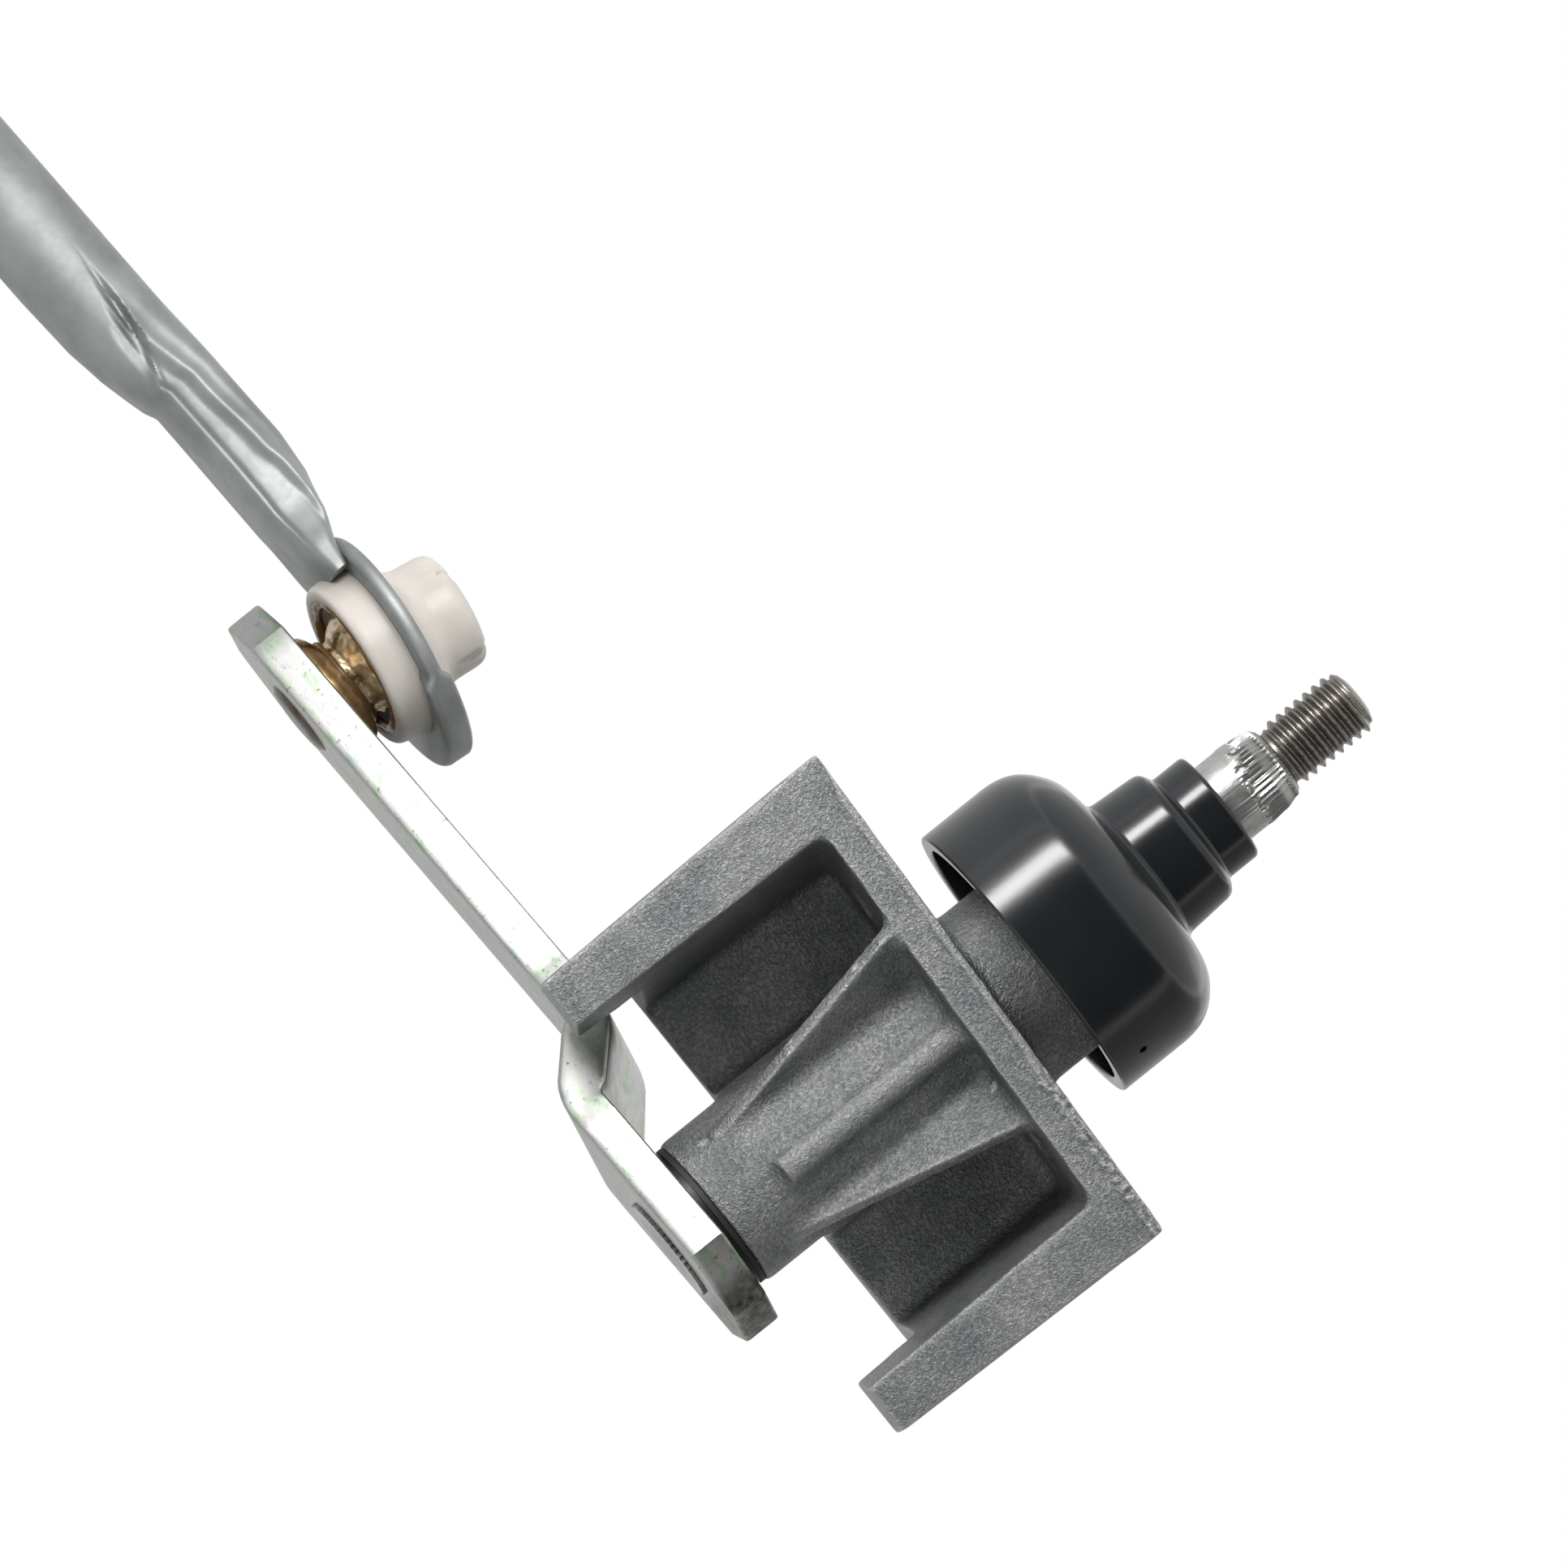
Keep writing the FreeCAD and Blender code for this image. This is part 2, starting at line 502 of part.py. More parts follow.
def rod_placement():
    """Place of the rod's frame: near ball at its origin, tube along its -X."""
    turn = axis_turn((0, 0, 1), -SIZES["rod_yaw"])
    turn = turn.multiply(axis_turn((1, 0, 0), -SIZES["rod_roll"]))
    turn = turn.multiply(axis_turn((0, 1, 0), -SIZES["rod_fall"]))
    return FreeCAD.Placement(ball_place(), turn)


def end_placement(far):
    """Place of an eye: in line with its socket, sloping down away from the tube."""
    slope = SIZES["eye_slope"]
    if far:
        here = shift(-SIZES["rod_length"], turn=axis_turn((0, 1, 0), -slope))
    else:
        here = shift(turn=axis_turn((0, 1, 0), slope))
    return here


def make_socket(name, far):
    """Plastic ball socket moulded through the eye; open below, domed above."""
    body = new_body(name)
    revolve(body, [
        ("0", "-dims.skirt_depth"), ("dims.skirt_mouth_radius", "-dims.skirt_depth"),
        ("dims.skirt_radius", "-dims.eye_thickness / 2"),
        ("dims.eye_hole_radius", "-dims.eye_thickness / 2"),
        ("dims.eye_hole_radius", "dims.eye_thickness / 2"),
        ("dims.flare_radius", "dims.eye_thickness / 2"),
        ("dims.flare_radius", "dims.flare_height"), ("dims.dome_radius", "dims.dome_start"),
        ("dims.dome_radius", "dims.dome_top - dims.dome_bevel"),
        ("dims.dome_radius - dims.dome_bevel", "dims.dome_top"),
        ("0", "dims.dome_top")])
    cavity = body.newObject("PartDesign::SubtractiveSphere", "Cavity")
    cavity.setExpression("Radius", "dims.ball_radius + dims.ball_fit")
    below = "-dims.skirt_depth - dims.cut_margin"
    revolve(body, [
        ("0", below), ("dims.mouth_radius", below),
        ("dims.mouth_radius", "-dims.skirt_depth"),
        ("sqrt((dims.ball_radius + dims.ball_fit) ^ 2 - dims.grip_depth ^ 2)",
         "-dims.grip_depth"),
        ("0", "-dims.grip_depth")], "Mouth", "PartDesign::Groove")
    body.Placement = rod_placement().multiply(end_placement(far))
    return body


def make_dust_seal():
    """Rubber ring round the stud's neck, under the near socket."""
    body = ring("near_dust_seal", "dims.stud_neck_radius + dims.dust_seal_gap",
                "dims.dust_seal_radius",
                "dims.stud_base_height - dims.ball_height",
                "dims.stud_base_height - dims.ball_height + dims.dust_seal_height")
    body.Placement = FreeCAD.Placement(ball_place(), FreeCAD.Rotation())
    return body


ACROSS_TUBE = FreeCAD.Rotation(FreeCAD.Vector(0, 1, 0), FreeCAD.Vector(0, 0, 1),
                               FreeCAD.Vector(1, 0, 0))


def ellipse(name, across, up, distance, lift, far):
    """Elliptical section across the tube at a distance from the nearer ball."""
    section = doc.addObject("Part::Ellipse", name)
    section.setExpression("MajorRadius", across)
    section.setExpression("MinorRadius", up)
    section.Placement = shift(turn=ACROSS_TUBE)
    place = distance + " - dims.rod_length" if far else "-(" + distance + ")"
    section.setExpression("Placement.Base.x", place)
    section.setExpression("Placement.Base.z", lift)
    return section


def make_rod_end(label, far):
    """Crimped end of the tube with its flat eye; returns the two objects."""
    tube_end = doc.addObject("Part::Circle", label + "TubeEnd")
    tube_end.setExpression("Radius", "dims.tube_radius")
    tube_end.Placement = shift(turn=ACROSS_TUBE)
    tube_end.setExpression("Placement.Base.x",
                           "dims.tube_start - dims.rod_length" if far else "-dims.tube_start")
    sections = [
        tube_end,
        ellipse(label + "CrimpStart", "dims.crimp_half_width", "dims.crimp_half_height",
                "dims.crimp_start", "dims.crimp_rise", far),
        ellipse(label + "CrimpEnd", "dims.crimp_half_width", "dims.crimp_half_height",
                "dims.crimp_end", "dims.crimp_rise", far),
        ellipse(label + "Neck", "dims.neck_half_width", "dims.neck_half_height",
                "dims.neck_place", "dims.neck_rise", far)]
    crimp = doc.addObject("Part::Loft", label + "Crimp")
    crimp.Sections = sections
    crimp.Solid = True
    crimp.Ruled = True
    disc = doc.addObject("Part::Cylinder", label + "EyeDisc")
    disc.setExpression("Radius", "dims.eye_radius")
    disc.setExpression("Height", "dims.eye_thickness")
    disc.Placement = end_placement(far).multiply(shift(z=-SIZES["eye_thickness"] / 2))
    return crimp, disc


def make_link_rod():
    """Tubular link rod with a crimped neck and an eye at either end."""
    placement = rod_placement()
    tube = doc.addObject("Part::Cylinder", "TubeOutside")
    hollow = doc.addObject("Part::Cylinder", "TubeInside")
    for piece, wall in ((tube, "0"), (hollow, "dims.tube_wall")):
        piece.Placement = shift(turn=axis_turn((0, 1, 0), -90))
        piece.setExpression("Placement.Base.x", "-dims.tube_start")
        piece.setExpression("Radius", "dims.tube_radius - " + wall)
        piece.setExpression("Height", "dims.rod_length - 2 * dims.tube_start")
    pieces = [tube]
    drills = [hollow]
    for label, far in (("Near", False), ("Far", True)):
        pieces += make_rod_end(label, far)
        drill = doc.addObject("Part::Cylinder", label + "EyeHole")
        drill.setExpression("Radius", "dims.eye_hole_radius")
        drill.setExpression("Height", "dims.eye_radius")
        drill.Placement = end_placement(far).multiply(shift(z=-SIZES["eye_radius"] / 2))
        drills.append(drill)
    solid = doc.addObject("Part::MultiFuse", "RodSolid")
    solid.Shapes = pieces
    drilled = doc.addObject("Part::MultiFuse", "RodDrills")
    drilled.Shapes = drills
    rod = doc.addObject("Part::Cut", "link_rod")
    rod.Base = solid
    rod.Tool = drilled
    rod.Label = "link_rod"
    rod.Placement = placement
    return rod


NODES = [
    "housing", "lower_bush", "upper_bush", "upper_seal", "oil_felt", "lower_seal_ring",
    "lower_thrust_washer", "spindle", "upper_thrust_washer", "wave_washer", "circlip",
    "cap_o_ring", "splash_cap", "crank_lever", "ball_stud", "link_rod", "near_ball_socket",
    "near_dust_seal", "far_ball_socket",
]


def export_nodes():
    """Check every object, then write one STEP file for each node."""
    doc.recompute()
    for item in doc.Objects:
        if "Invalid" in item.State or "Error" in item.State:
            raise RuntimeError("%s failed: %s" % (item.Label, item.State))
    shapes = {item.Label: item.Shape for item in doc.Objects if item.Label in NODES}
    os.makedirs("parts", exist_ok=True)
    for name in NODES:
        shape = shapes[name]
        if shape.isNull() or not shape.isValid() or not shape.Solids:
            raise RuntimeError(name + " is not a valid solid")
        shape.exportStep("parts/%s.step" % name)
        box = shape.BoundBox
        print("%-20s solids %d volume %9.1f  z %.1f..%.1f" % (
            name, len(shape.Solids), shape.Volume, box.ZMin, box.ZMax))


make_housing()
make_bearing()
make_spindle()
make_splash_cap()
make_crank_lever()
make_ball_stud()
make_socket("near_ball_socket", False)
make_socket("far_ball_socket", True)
make_dust_seal()
make_link_rod()
export_nodes()
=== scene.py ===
"""Looks of the windshield wiper pivot, its crank lever and its link rod."""

import json
import math

import bmesh
import bpy
from mathutils import Matrix, Vector, noise


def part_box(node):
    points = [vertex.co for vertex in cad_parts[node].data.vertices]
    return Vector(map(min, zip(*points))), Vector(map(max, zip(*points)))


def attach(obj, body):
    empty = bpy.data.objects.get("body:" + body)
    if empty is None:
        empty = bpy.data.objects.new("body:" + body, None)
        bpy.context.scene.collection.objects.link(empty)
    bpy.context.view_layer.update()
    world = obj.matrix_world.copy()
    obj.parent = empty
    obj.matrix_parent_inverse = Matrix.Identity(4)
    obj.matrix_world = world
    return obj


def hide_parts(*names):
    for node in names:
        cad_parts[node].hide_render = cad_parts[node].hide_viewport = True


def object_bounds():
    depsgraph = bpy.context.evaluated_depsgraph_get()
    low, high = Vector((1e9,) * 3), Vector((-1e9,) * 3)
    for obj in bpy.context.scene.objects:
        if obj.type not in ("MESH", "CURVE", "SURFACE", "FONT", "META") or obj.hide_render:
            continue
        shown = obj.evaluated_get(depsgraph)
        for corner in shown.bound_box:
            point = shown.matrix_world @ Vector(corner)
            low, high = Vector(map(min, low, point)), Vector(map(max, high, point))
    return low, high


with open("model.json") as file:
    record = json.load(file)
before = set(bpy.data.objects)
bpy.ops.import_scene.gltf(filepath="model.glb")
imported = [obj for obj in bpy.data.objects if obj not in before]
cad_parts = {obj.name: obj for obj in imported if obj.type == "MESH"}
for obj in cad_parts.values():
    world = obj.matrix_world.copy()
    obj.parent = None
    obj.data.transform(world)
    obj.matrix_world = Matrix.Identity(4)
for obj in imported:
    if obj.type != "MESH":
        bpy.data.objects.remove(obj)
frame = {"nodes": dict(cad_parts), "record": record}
cad_low, cad_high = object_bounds()

MM = 0.001
MOUNTS = {mount["name"]: mount for mount in frame["record"]["mounts"]}


def box_mm(node):
    """Lowest and highest corner of a CAD node, in millimetres."""
    low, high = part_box(node)
    return Vector(low) / MM, Vector(high) / MM


def joint_place(name):
    """Place of a joint of the record, in millimetres."""
    for joint in frame["record"]["behaviour"]["joints"]:
        if joint["name"] == name:
            return Vector(joint["pos_m"]) / MM
    raise KeyError(name)


# ---------------------------------------------------------------- materials

def node_tree(name):
    """A new material, its node tree and its Principled shader."""
    material = bpy.data.materials.new(name)
    material.use_nodes = True
    tree = material.node_tree
    return material, tree, tree.nodes["Principled BSDF"]


def add_node(tree, kind, inputs=None, **settings):
    """Add a shader node, set its properties and its inputs or links."""
    node = tree.nodes.new(kind)
    for key, value in settings.items():
        setattr(node, key, value)
    for key, value in (inputs or {}).items():
        if isinstance(value, bpy.types.NodeSocket):
            tree.links.new(value, node.inputs[key])
        else:
            node.inputs[key].default_value = value
    return node


def place(tree, stretch=(1.0, 1.0, 1.0)):
    """Object coordinates, stretched along the axes."""
    coordinates = add_node(tree, "ShaderNodeTexCoord")
    mapping = add_node(tree, "ShaderNodeMapping", {"Vector": coordinates.outputs["Object"]})
    mapping.inputs["Scale"].default_value = stretch
    return mapping.outputs["Vector"]


def noise_field(tree, vector, scale, detail=3.0, roughness=0.55):
    """Noise between 0 and 1 at a scale per metre."""
    node = add_node(tree, "ShaderNodeTexNoise",
                    {"Vector": vector, "Scale": scale, "Detail": detail,
                     "Roughness": roughness})
    return node.outputs["Fac"]


def ramp(tree, value, stops):
    """Colour ramp with (position, colour) stops."""
    node = add_node(tree, "ShaderNodeValToRGB", {"Fac": value})
    elements = node.color_ramp.elements
    while len(elements) < len(stops):
        elements.new(0.5)
    for element, (position, colour) in zip(elements, stops):
        element.position = position
        element.color = (*colour, 1.0) if len(colour) == 3 else colour
    return node.outputs["Color"]


def grey(level):
    """A neutral colour."""
    return (level, level, level)


def span(tree, value, low, high):
    """Map a 0 to 1 value to a range."""
    node = add_node(tree, "ShaderNodeMapRange",
                    {"Value": value, "To Min": low, "To Max": high})
    return node.outputs["Result"]


def bump(tree, heights, strength, distance):
    """Chain bump nodes over the heights and return the normal."""
    normal = None
    for height, share in heights:
        node = add_node(tree, "ShaderNodeBump",
                        {"Height": height, "Strength": strength * share,
                         "Distance": distance})
        if normal is not None:
            tree.links.new(normal, node.inputs["Normal"])
        normal = node.outputs["Normal"]
    return normal


def cast_aluminium():
    """Shot-blasted die-cast aluminium: grainy, dull grey, with painted highlights along its
    convex edges and painted shade in its hollows.
    """
    material, tree, shader = node_tree("cast_aluminium")
    where = place(tree)
    grain = noise_field(tree, where, 2300.0, 3.0, 0.75)
    speckle = noise_field(tree, where, 4200.0, 2.0, 0.6)
    stain = noise_field(tree, where, 110.0, 4.0, 0.65)
    base = ramp(tree, stain, [(0.3, (0.15, 0.156, 0.16)), (0.52, (0.215, 0.222, 0.222)),
                              (0.75, (0.29, 0.286, 0.274))])
    grains = ramp(tree, grain, [(0.36, grey(0.76)), (0.5, grey(0.96)), (0.63, grey(1.4))])
    dusty = mixed_colour(tree, 1.0, base, grains, "MULTIPLY")
    shape = add_node(tree, "ShaderNodeNewGeometry").outputs["Pointiness"]
    # Painted highlight: convex edges, found by pointiness, are mixed towards a bright grey.
    edge_highlight = ramp(tree, shape, [(0.44, grey(0.0)), (0.5, grey(0.0)), (0.545, grey(1.0))])
    # Painted shade: concave hollows and creases, found by pointiness, are darkened.
    hollow_shade = ramp(tree, shape, [(0.40, grey(0.45)), (0.488, grey(1.0))])
    shaded = mixed_colour(tree, 1.0, dusty, hollow_shade, "MULTIPLY")
    wear_and_painted_highlight = mixed_colour(tree, edge_highlight, shaded, (0.42, 0.43, 0.41, 1.0), "MIX")
    tree.links.new(wear_and_painted_highlight, shader.inputs["Base Color"])
    tree.links.new(span(tree, speckle, 0.36, 0.56), shader.inputs["Roughness"])
    shader.inputs["Metallic"].default_value = 0.92
    tree.links.new(bump(tree, [(grain, 0.8), (speckle, 0.5)], 1.0, 0.00034),
                   shader.inputs["Normal"])
    return material


def mixed_colour(tree, share, first, second, blend):
    """Mix of two colours by a factor."""
    node = add_node(tree, "ShaderNodeMix", data_type="RGBA", blend_type=blend)
    for number, value in ((0, share), (6, first), (7, second)):
        if isinstance(value, bpy.types.NodeSocket):
            tree.links.new(value, node.inputs[number])
        else:
            node.inputs[number].default_value = value
    return node.outputs[2]


def screw_steel():
    """Turned steel: bright serrated cone, browned oily thread, dark knurled foot."""
    material, tree, shader = node_tree("turned_steel")
    where = place(tree)
    height = add_node(tree, "ShaderNodeSeparateXYZ", {"Vector": where}).outputs["Z"]
    share = add_node(tree, "ShaderNodeMapRange",
                     {"Value": height, "From Min": -0.045, "From Max": 0.055}).outputs["Result"]
    tones = ramp(tree, share, [(0.004, (0.42, 0.42, 0.41)), (0.012, (0.1, 0.1, 0.1)),
                               (0.2, (0.4, 0.39, 0.38)), (0.8, (0.46, 0.46, 0.45)),
                               (0.862, (0.42, 0.42, 0.41)), (0.872, (0.2, 0.185, 0.17)),
                               (0.97, (0.22, 0.205, 0.185)), (0.985, (0.3, 0.31, 0.27))])
    cloud = noise_field(tree, where, 900.0, 3.0, 0.6)
    clouded = mixed_colour(tree, 1.0, tones, ramp(tree, cloud, [(0.3, grey(0.85)),
                                                                (0.65, grey(1.08))]), "MULTIPLY")
    tree.links.new(clouded, shader.inputs["Base Color"])
    scratches = noise_field(tree, place(tree, (1.0, 1.0, 0.15)), 3000.0, 3.0, 0.6)
    tree.links.new(span(tree, scratches, 0.2, 0.45), shader.inputs["Roughness"])
    shader.inputs["Metallic"].default_value = 1.0
    tree.links.new(bump(tree, [(scratches, 1.0)], 0.4, 0.00006), shader.inputs["Normal"])
    return material


def greased_steel():
    """Ball stud: creamy gold grease over the ball, a dark brown shank and a dark rivet."""
    material, tree, shader = node_tree("greased_steel")
    where = place(tree)
    level = joint_place("rod_swing").z * MM
    height = add_node(tree, "ShaderNodeSeparateXYZ", {"Vector": where}).outputs["Z"]
    share = add_node(tree, "ShaderNodeMapRange",
                     {"Value": height, "From Min": level - 0.014,
                      "From Max": level + 0.007}).outputs["Result"]
    tones = ramp(tree, share, [(0.1, (0.09, 0.08, 0.065)), (0.24, (0.09, 0.08, 0.065)),
                               (0.27, (0.3, 0.2, 0.09)), (0.34, (0.36, 0.25, 0.13)),
                               (0.42, (0.62, 0.52, 0.37)), (0.7, (0.66, 0.57, 0.43))])
    smear = noise_field(tree, place(tree, (1.0, 1.0, 0.5)), 420.0, 3.0, 0.6)
    streaks = ramp(tree, smear, [(0.32, (0.3, 0.2, 0.1)), (0.46, (0.9, 0.85, 0.75)),
                                 (0.7, (1.2, 1.2, 1.15))])
    tree.links.new(mixed_colour(tree, 1.0, tones, streaks, "MULTIPLY"),
                   shader.inputs["Base Color"])
    tree.links.new(span(tree, smear, 0.2, 0.42), shader.inputs["Roughness"])
    shader.inputs["Metallic"].default_value = 0.75
    tree.links.new(bump(tree, [(smear, 1.0)], 0.4, 0.0002), shader.inputs["Normal"])
    return material


def zinc_plated():
    """Bright zinc plate with a faint green and pink film and fine wear."""
    material, tree, shader = node_tree("zinc_plate")
    where = place(tree)
    film = noise_field(tree, place(tree, (1.0, 1.0, 2.5)), 210.0, 4.0, 0.6)
    tint = ramp(tree, film, [(0.34, (0.25, 0.33, 0.24)), (0.45, (0.35, 0.38, 0.33)),
                             (0.55, (0.38, 0.35, 0.365)), (0.68, (0.27, 0.34, 0.31))])
    speck = noise_field(tree, where, 1500.0, 3.0, 0.7)
    wear_and_painted_highlight = mixed_colour(tree, 1.0, tint, ramp(tree, speck, [(0.28, grey(0.35)),
                                                            (0.4, grey(1.0))]), "MULTIPLY")
    along = add_node(tree, "ShaderNodeSeparateXYZ", {"Vector": where}).outputs["X"]
    share = add_node(tree, "ShaderNodeMapRange",
                     {"Value": along, "From Min": 0.0055, "From Max": 0.0085}).outputs["Result"]
    oily = ramp(tree, noise_field(tree, where, 700.0, 3.0, 0.65),
                [(0.36, (0.05, 0.05, 0.042)), (0.56, (0.15, 0.15, 0.135)),
                 (0.68, (0.24, 0.24, 0.22))])
    tree.links.new(mixed_colour(tree, share, wear_and_painted_highlight, oily, "MIX"), shader.inputs["Base Color"])
    tree.links.new(span(tree, noise_field(tree, where, 600.0, 3.0, 0.6), 0.26, 0.5),
                   shader.inputs["Roughness"])
    shader.inputs["Metallic"].default_value = 0.95
    tree.links.new(bump(tree, [(speck, 0.6), (film, 0.4)], 0.3, 0.00008),
                   shader.inputs["Normal"])
    return material


def steel(name, tone, low_rough, high_rough):
    """Bare or plated metal with a cloudy tone and fine scratches."""
    material, tree, shader = node_tree(name)
    scratches = noise_field(tree, place(tree), 1500.0, 4.0, 0.65)
    cloud = noise_field(tree, place(tree), 130.0, 3.0, 0.55)
    dark = tuple(channel * 0.72 for channel in tone)
    colour = ramp(tree, cloud, [(0.3, dark), (0.62, tone)])
    tree.links.new(colour, shader.inputs["Base Color"])
    tree.links.new(span(tree, scratches, low_rough, high_rough), shader.inputs["Roughness"])
    shader.inputs["Metallic"].default_value = 1.0
    tree.links.new(bump(tree, [(scratches, 1.0)], 0.35, 0.00005), shader.inputs["Normal"])
    return material


def moulded(name, tone, rough, subsurface=0.0):
    """Moulded plastic or rubber with a fine texture."""
    material, tree, shader = node_tree(name)
    where = place(tree)
    fine = noise_field(tree, where, 1800.0, 3.0, 0.6)
    broad = noise_field(tree, where, 160.0, 2.0, 0.5)
    dark = tuple(channel * 0.85 for channel in tone)
    tree.links.new(ramp(tree, broad, [(0.35, dark), (0.65, tone)]),
                   shader.inputs["Base Color"])
    tree.links.new(span(tree, broad, rough * 0.85, rough * 1.2), shader.inputs["Roughness"])
    shader.inputs["Subsurface Weight"].default_value = subsurface
    shader.inputs["Subsurface Radius"].default_value = (0.0012, 0.001, 0.0008)
    tree.links.new(bump(tree, [(fine, 0.5), (broad, 0.5)], 0.12, 0.00008),
                   shader.inputs["Normal"])
    return material


LOOKS = {
    "cast_housing": cast_aluminium(),
    "bronze": steel("sintered_bronze", (0.5, 0.33, 0.16), 0.45, 0.6),
    "seal_rubber": moulded("black_rubber", (0.014, 0.014, 0.015), 0.6),
    "felt": moulded("oiled_felt", (0.35, 0.3, 0.2), 0.9),
    "spindle_steel": screw_steel(),
    "washer_steel": steel("washer_steel", (0.05, 0.05, 0.05), 0.35, 0.5),
    "cap_plastic": moulded("cap_plastic", (0.0085, 0.0098, 0.0112), 0.19),
    "zinc_plate": zinc_plated(),
    "stud_steel": greased_steel(),
    "galvanised_tube": steel("galvanised_tube", (0.34, 0.357, 0.348), 0.52, 0.68),
    "socket_plastic": moulded("socket_plastic", (0.5, 0.467, 0.43), 0.42, subsurface=0.15),
    "grease": moulded("brown_grease", (0.17, 0.085, 0.025), 0.28),
    "greasy_rubber": moulded("greasy_rubber", (0.09, 0.045, 0.015), 0.3),
}


def finish_nodes():
    """Give every CAD node the look of its material slot."""
    slots = {part["node"]: part["material_slot"] for part in frame["record"]["subparts"]}
    for name, node in frame["nodes"].items():
        node.data.materials.clear()
        node.data.materials.append(LOOKS[slots[name]])


finish_nodes()

# ---------------------------------------------------------------- building pieces

def smooth_step(value, low, high):
    """0 below low, 1 above high, smooth between."""
    share = min(max((value - low) / (high - low), 0.0), 1.0)
    return share * share * (3.0 - 2.0 * share)


def table_value(table, value):
    """Smooth interpolation in a table of (place, value) rows with rising places."""
    if value <= table[0][0]:
        return table[0][1]
    for (low, first), (high, second) in zip(table, table[1:]):
        if value <= high:
            return first + (second - first) * smooth_step(value, low, high)
    return table[-1][1]


def new_piece(name, points, faces, look, body, nodes, crease=35.0):
    """A mesh piece from points in millimetres that stands for CAD nodes and rides a body."""
    mesh = bpy.data.meshes.new(name)
    mesh.from_pydata([(x * MM, y * MM, z * MM) for x, y, z in points], [], faces)
    mesh.validate()
    return add_piece(name, mesh, look, body, nodes, crease)


def add_piece(name, mesh, look, body, nodes, crease=35.0):
    """Link a mesh as a piece with its look, its body and the CAD nodes it stands for."""
    finish_mesh(mesh, crease)
    mesh.materials.clear()
    mesh.materials.append(look)
    piece = bpy.data.objects.new(name, mesh)
    bpy.context.scene.collection.objects.link(piece)
    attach(piece, body)
    if nodes:
        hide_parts(*nodes)
    return piece


def finish_mesh(mesh, crease):
    """Outward normals and smooth shading with sharp edges above the crease angle."""
    work = bmesh.new()
    work.from_mesh(mesh)
    bmesh.ops.recalc_face_normals(work, faces=work.faces)
    work.to_mesh(mesh)
    work.free()
    mesh.polygons.foreach_set("use_smooth", [True] * len(mesh.polygons))
    mesh.set_sharp_from_angle(angle=math.radians(crease))


def grid_faces(rows, columns, offset=0, closed_ends=True):
    """Faces of a tube-like grid of rows, each a ring of points; ends closed by one face."""
    faces = []
    for row in range(rows - 1):
        for column in range(columns):
            following = (column + 1) % columns
            first = offset + row * columns
            second = first + columns
            faces.append((first + column, first + following,
                          second + following, second + column))
    if closed_ends:
        last = offset + (rows - 1) * columns
        faces.append(tuple(offset + column for column in reversed(range(columns))))
        faces.append(tuple(last + column for column in range(columns)))
    return faces


def looped_faces(rows, columns):
    """Faces of a grid whose last ring joins its first, as on a closed profile."""
    faces = grid_faces(rows, columns, closed_ends=False)
    last = (rows - 1) * columns
    for column in range(columns):
        following = (column + 1) % columns
        faces.append((last + column, last + following, following, column))
    return faces


def turned(rows, columns):
    """Rings about the Z axis; a row is (height, radius) and radius may depend on the turn."""
    points = []
    for height, radius in rows:
        for column in range(columns):
            turn = 2 * math.pi * column / columns
            reach = radius(turn) if callable(radius) else radius
            points.append((reach * math.cos(turn), reach * math.sin(turn), height))
    return points, grid_faces(len(rows), columns)


def rounded_profile(corners, steps=5):
    """Replace each (radius, height, rounding) corner by a few points of an arc-like bend."""
    result = []
    for number, (radius, height, bend) in enumerate(corners):
        if bend <= 0 or number in (0, len(corners) - 1):
            result.append((height, radius))
            continue
        here = Vector((radius, height))
        before = Vector(corners[number - 1][:2]) - here
        after = Vector(corners[number + 1][:2]) - here
        start = here + before.normalized() * min(bend, before.length * 0.48)
        end = here + after.normalized() * min(bend, after.length * 0.48)
        for step in range(steps + 1):
            share = step / steps
            spot = start.lerp(here, share).lerp(here.lerp(end, share), share)
            result.append((spot.y, spot.x))
    return result


def moved(points, matrix):
    """Points carried by a 4x4 matrix whose translation is in millimetres."""
    return [tuple(matrix @ Vector(point)) for point in points]


# ---------------------------------------------------------------- housing

HOUSING_VOXEL = 0.34
HOUSING_CLOSING = 0.7
HOUSING_SMOOTHING = 7
FLANGE_SLOPE = 2.6
FLASH_START = 8.0
FLASH_FULL = 12.0
PARTING_DEPTH = 0.95
FLASH_DEPTH = 1.35
FLASH_STEP = 0.3
FLASH_ROUGHNESS = 0.35


def remeshed(mesh, voxel):
    """Voxel remesh of a mesh; the size is in metres."""
    worker = bpy.data.objects.new("worker", mesh)
    bpy.context.scene.collection.objects.link(worker)
    modifier = worker.modifiers.new("voxels", "REMESH")
    modifier.mode = "VOXEL"
    modifier.voxel_size = voxel
    graph = bpy.context.evaluated_depsgraph_get()
    result = bpy.data.meshes.new_from_object(worker.evaluated_get(graph))
    bpy.data.objects.remove(worker)
    return result


def pushed(mesh, distance):
    """Move every vertex along its normal."""
    normals = [vertex.normal.copy() for vertex in mesh.vertices]
    for vertex, normal in zip(mesh.vertices, normals):
        vertex.co += normal * distance
    mesh.update()


def relaxed(mesh, rounds, factor=0.5):
    """Plain smoothing of the vertices."""
    work = bmesh.new()
    work.from_mesh(mesh)
    for _ in range(rounds):
        bmesh.ops.smooth_vert(work, verts=work.verts, factor=factor, use_axis_x=True,
                              use_axis_y=True, use_axis_z=True)
    work.to_mesh(mesh)
    work.free()
    mesh.update()


def flash_height(x):
    """How far the ragged casting flash reaches below the seat along the flange front."""
    if x < FLASH_START:
        return PARTING_DEPTH * smooth_step(x, -31.0, -26.0)
    ragged = noise.noise(Vector((x * 1.1, 3.0, 0.0))) * 0.9
    return FLASH_DEPTH + ragged * smooth_step(x, FLASH_START, FLASH_FULL)


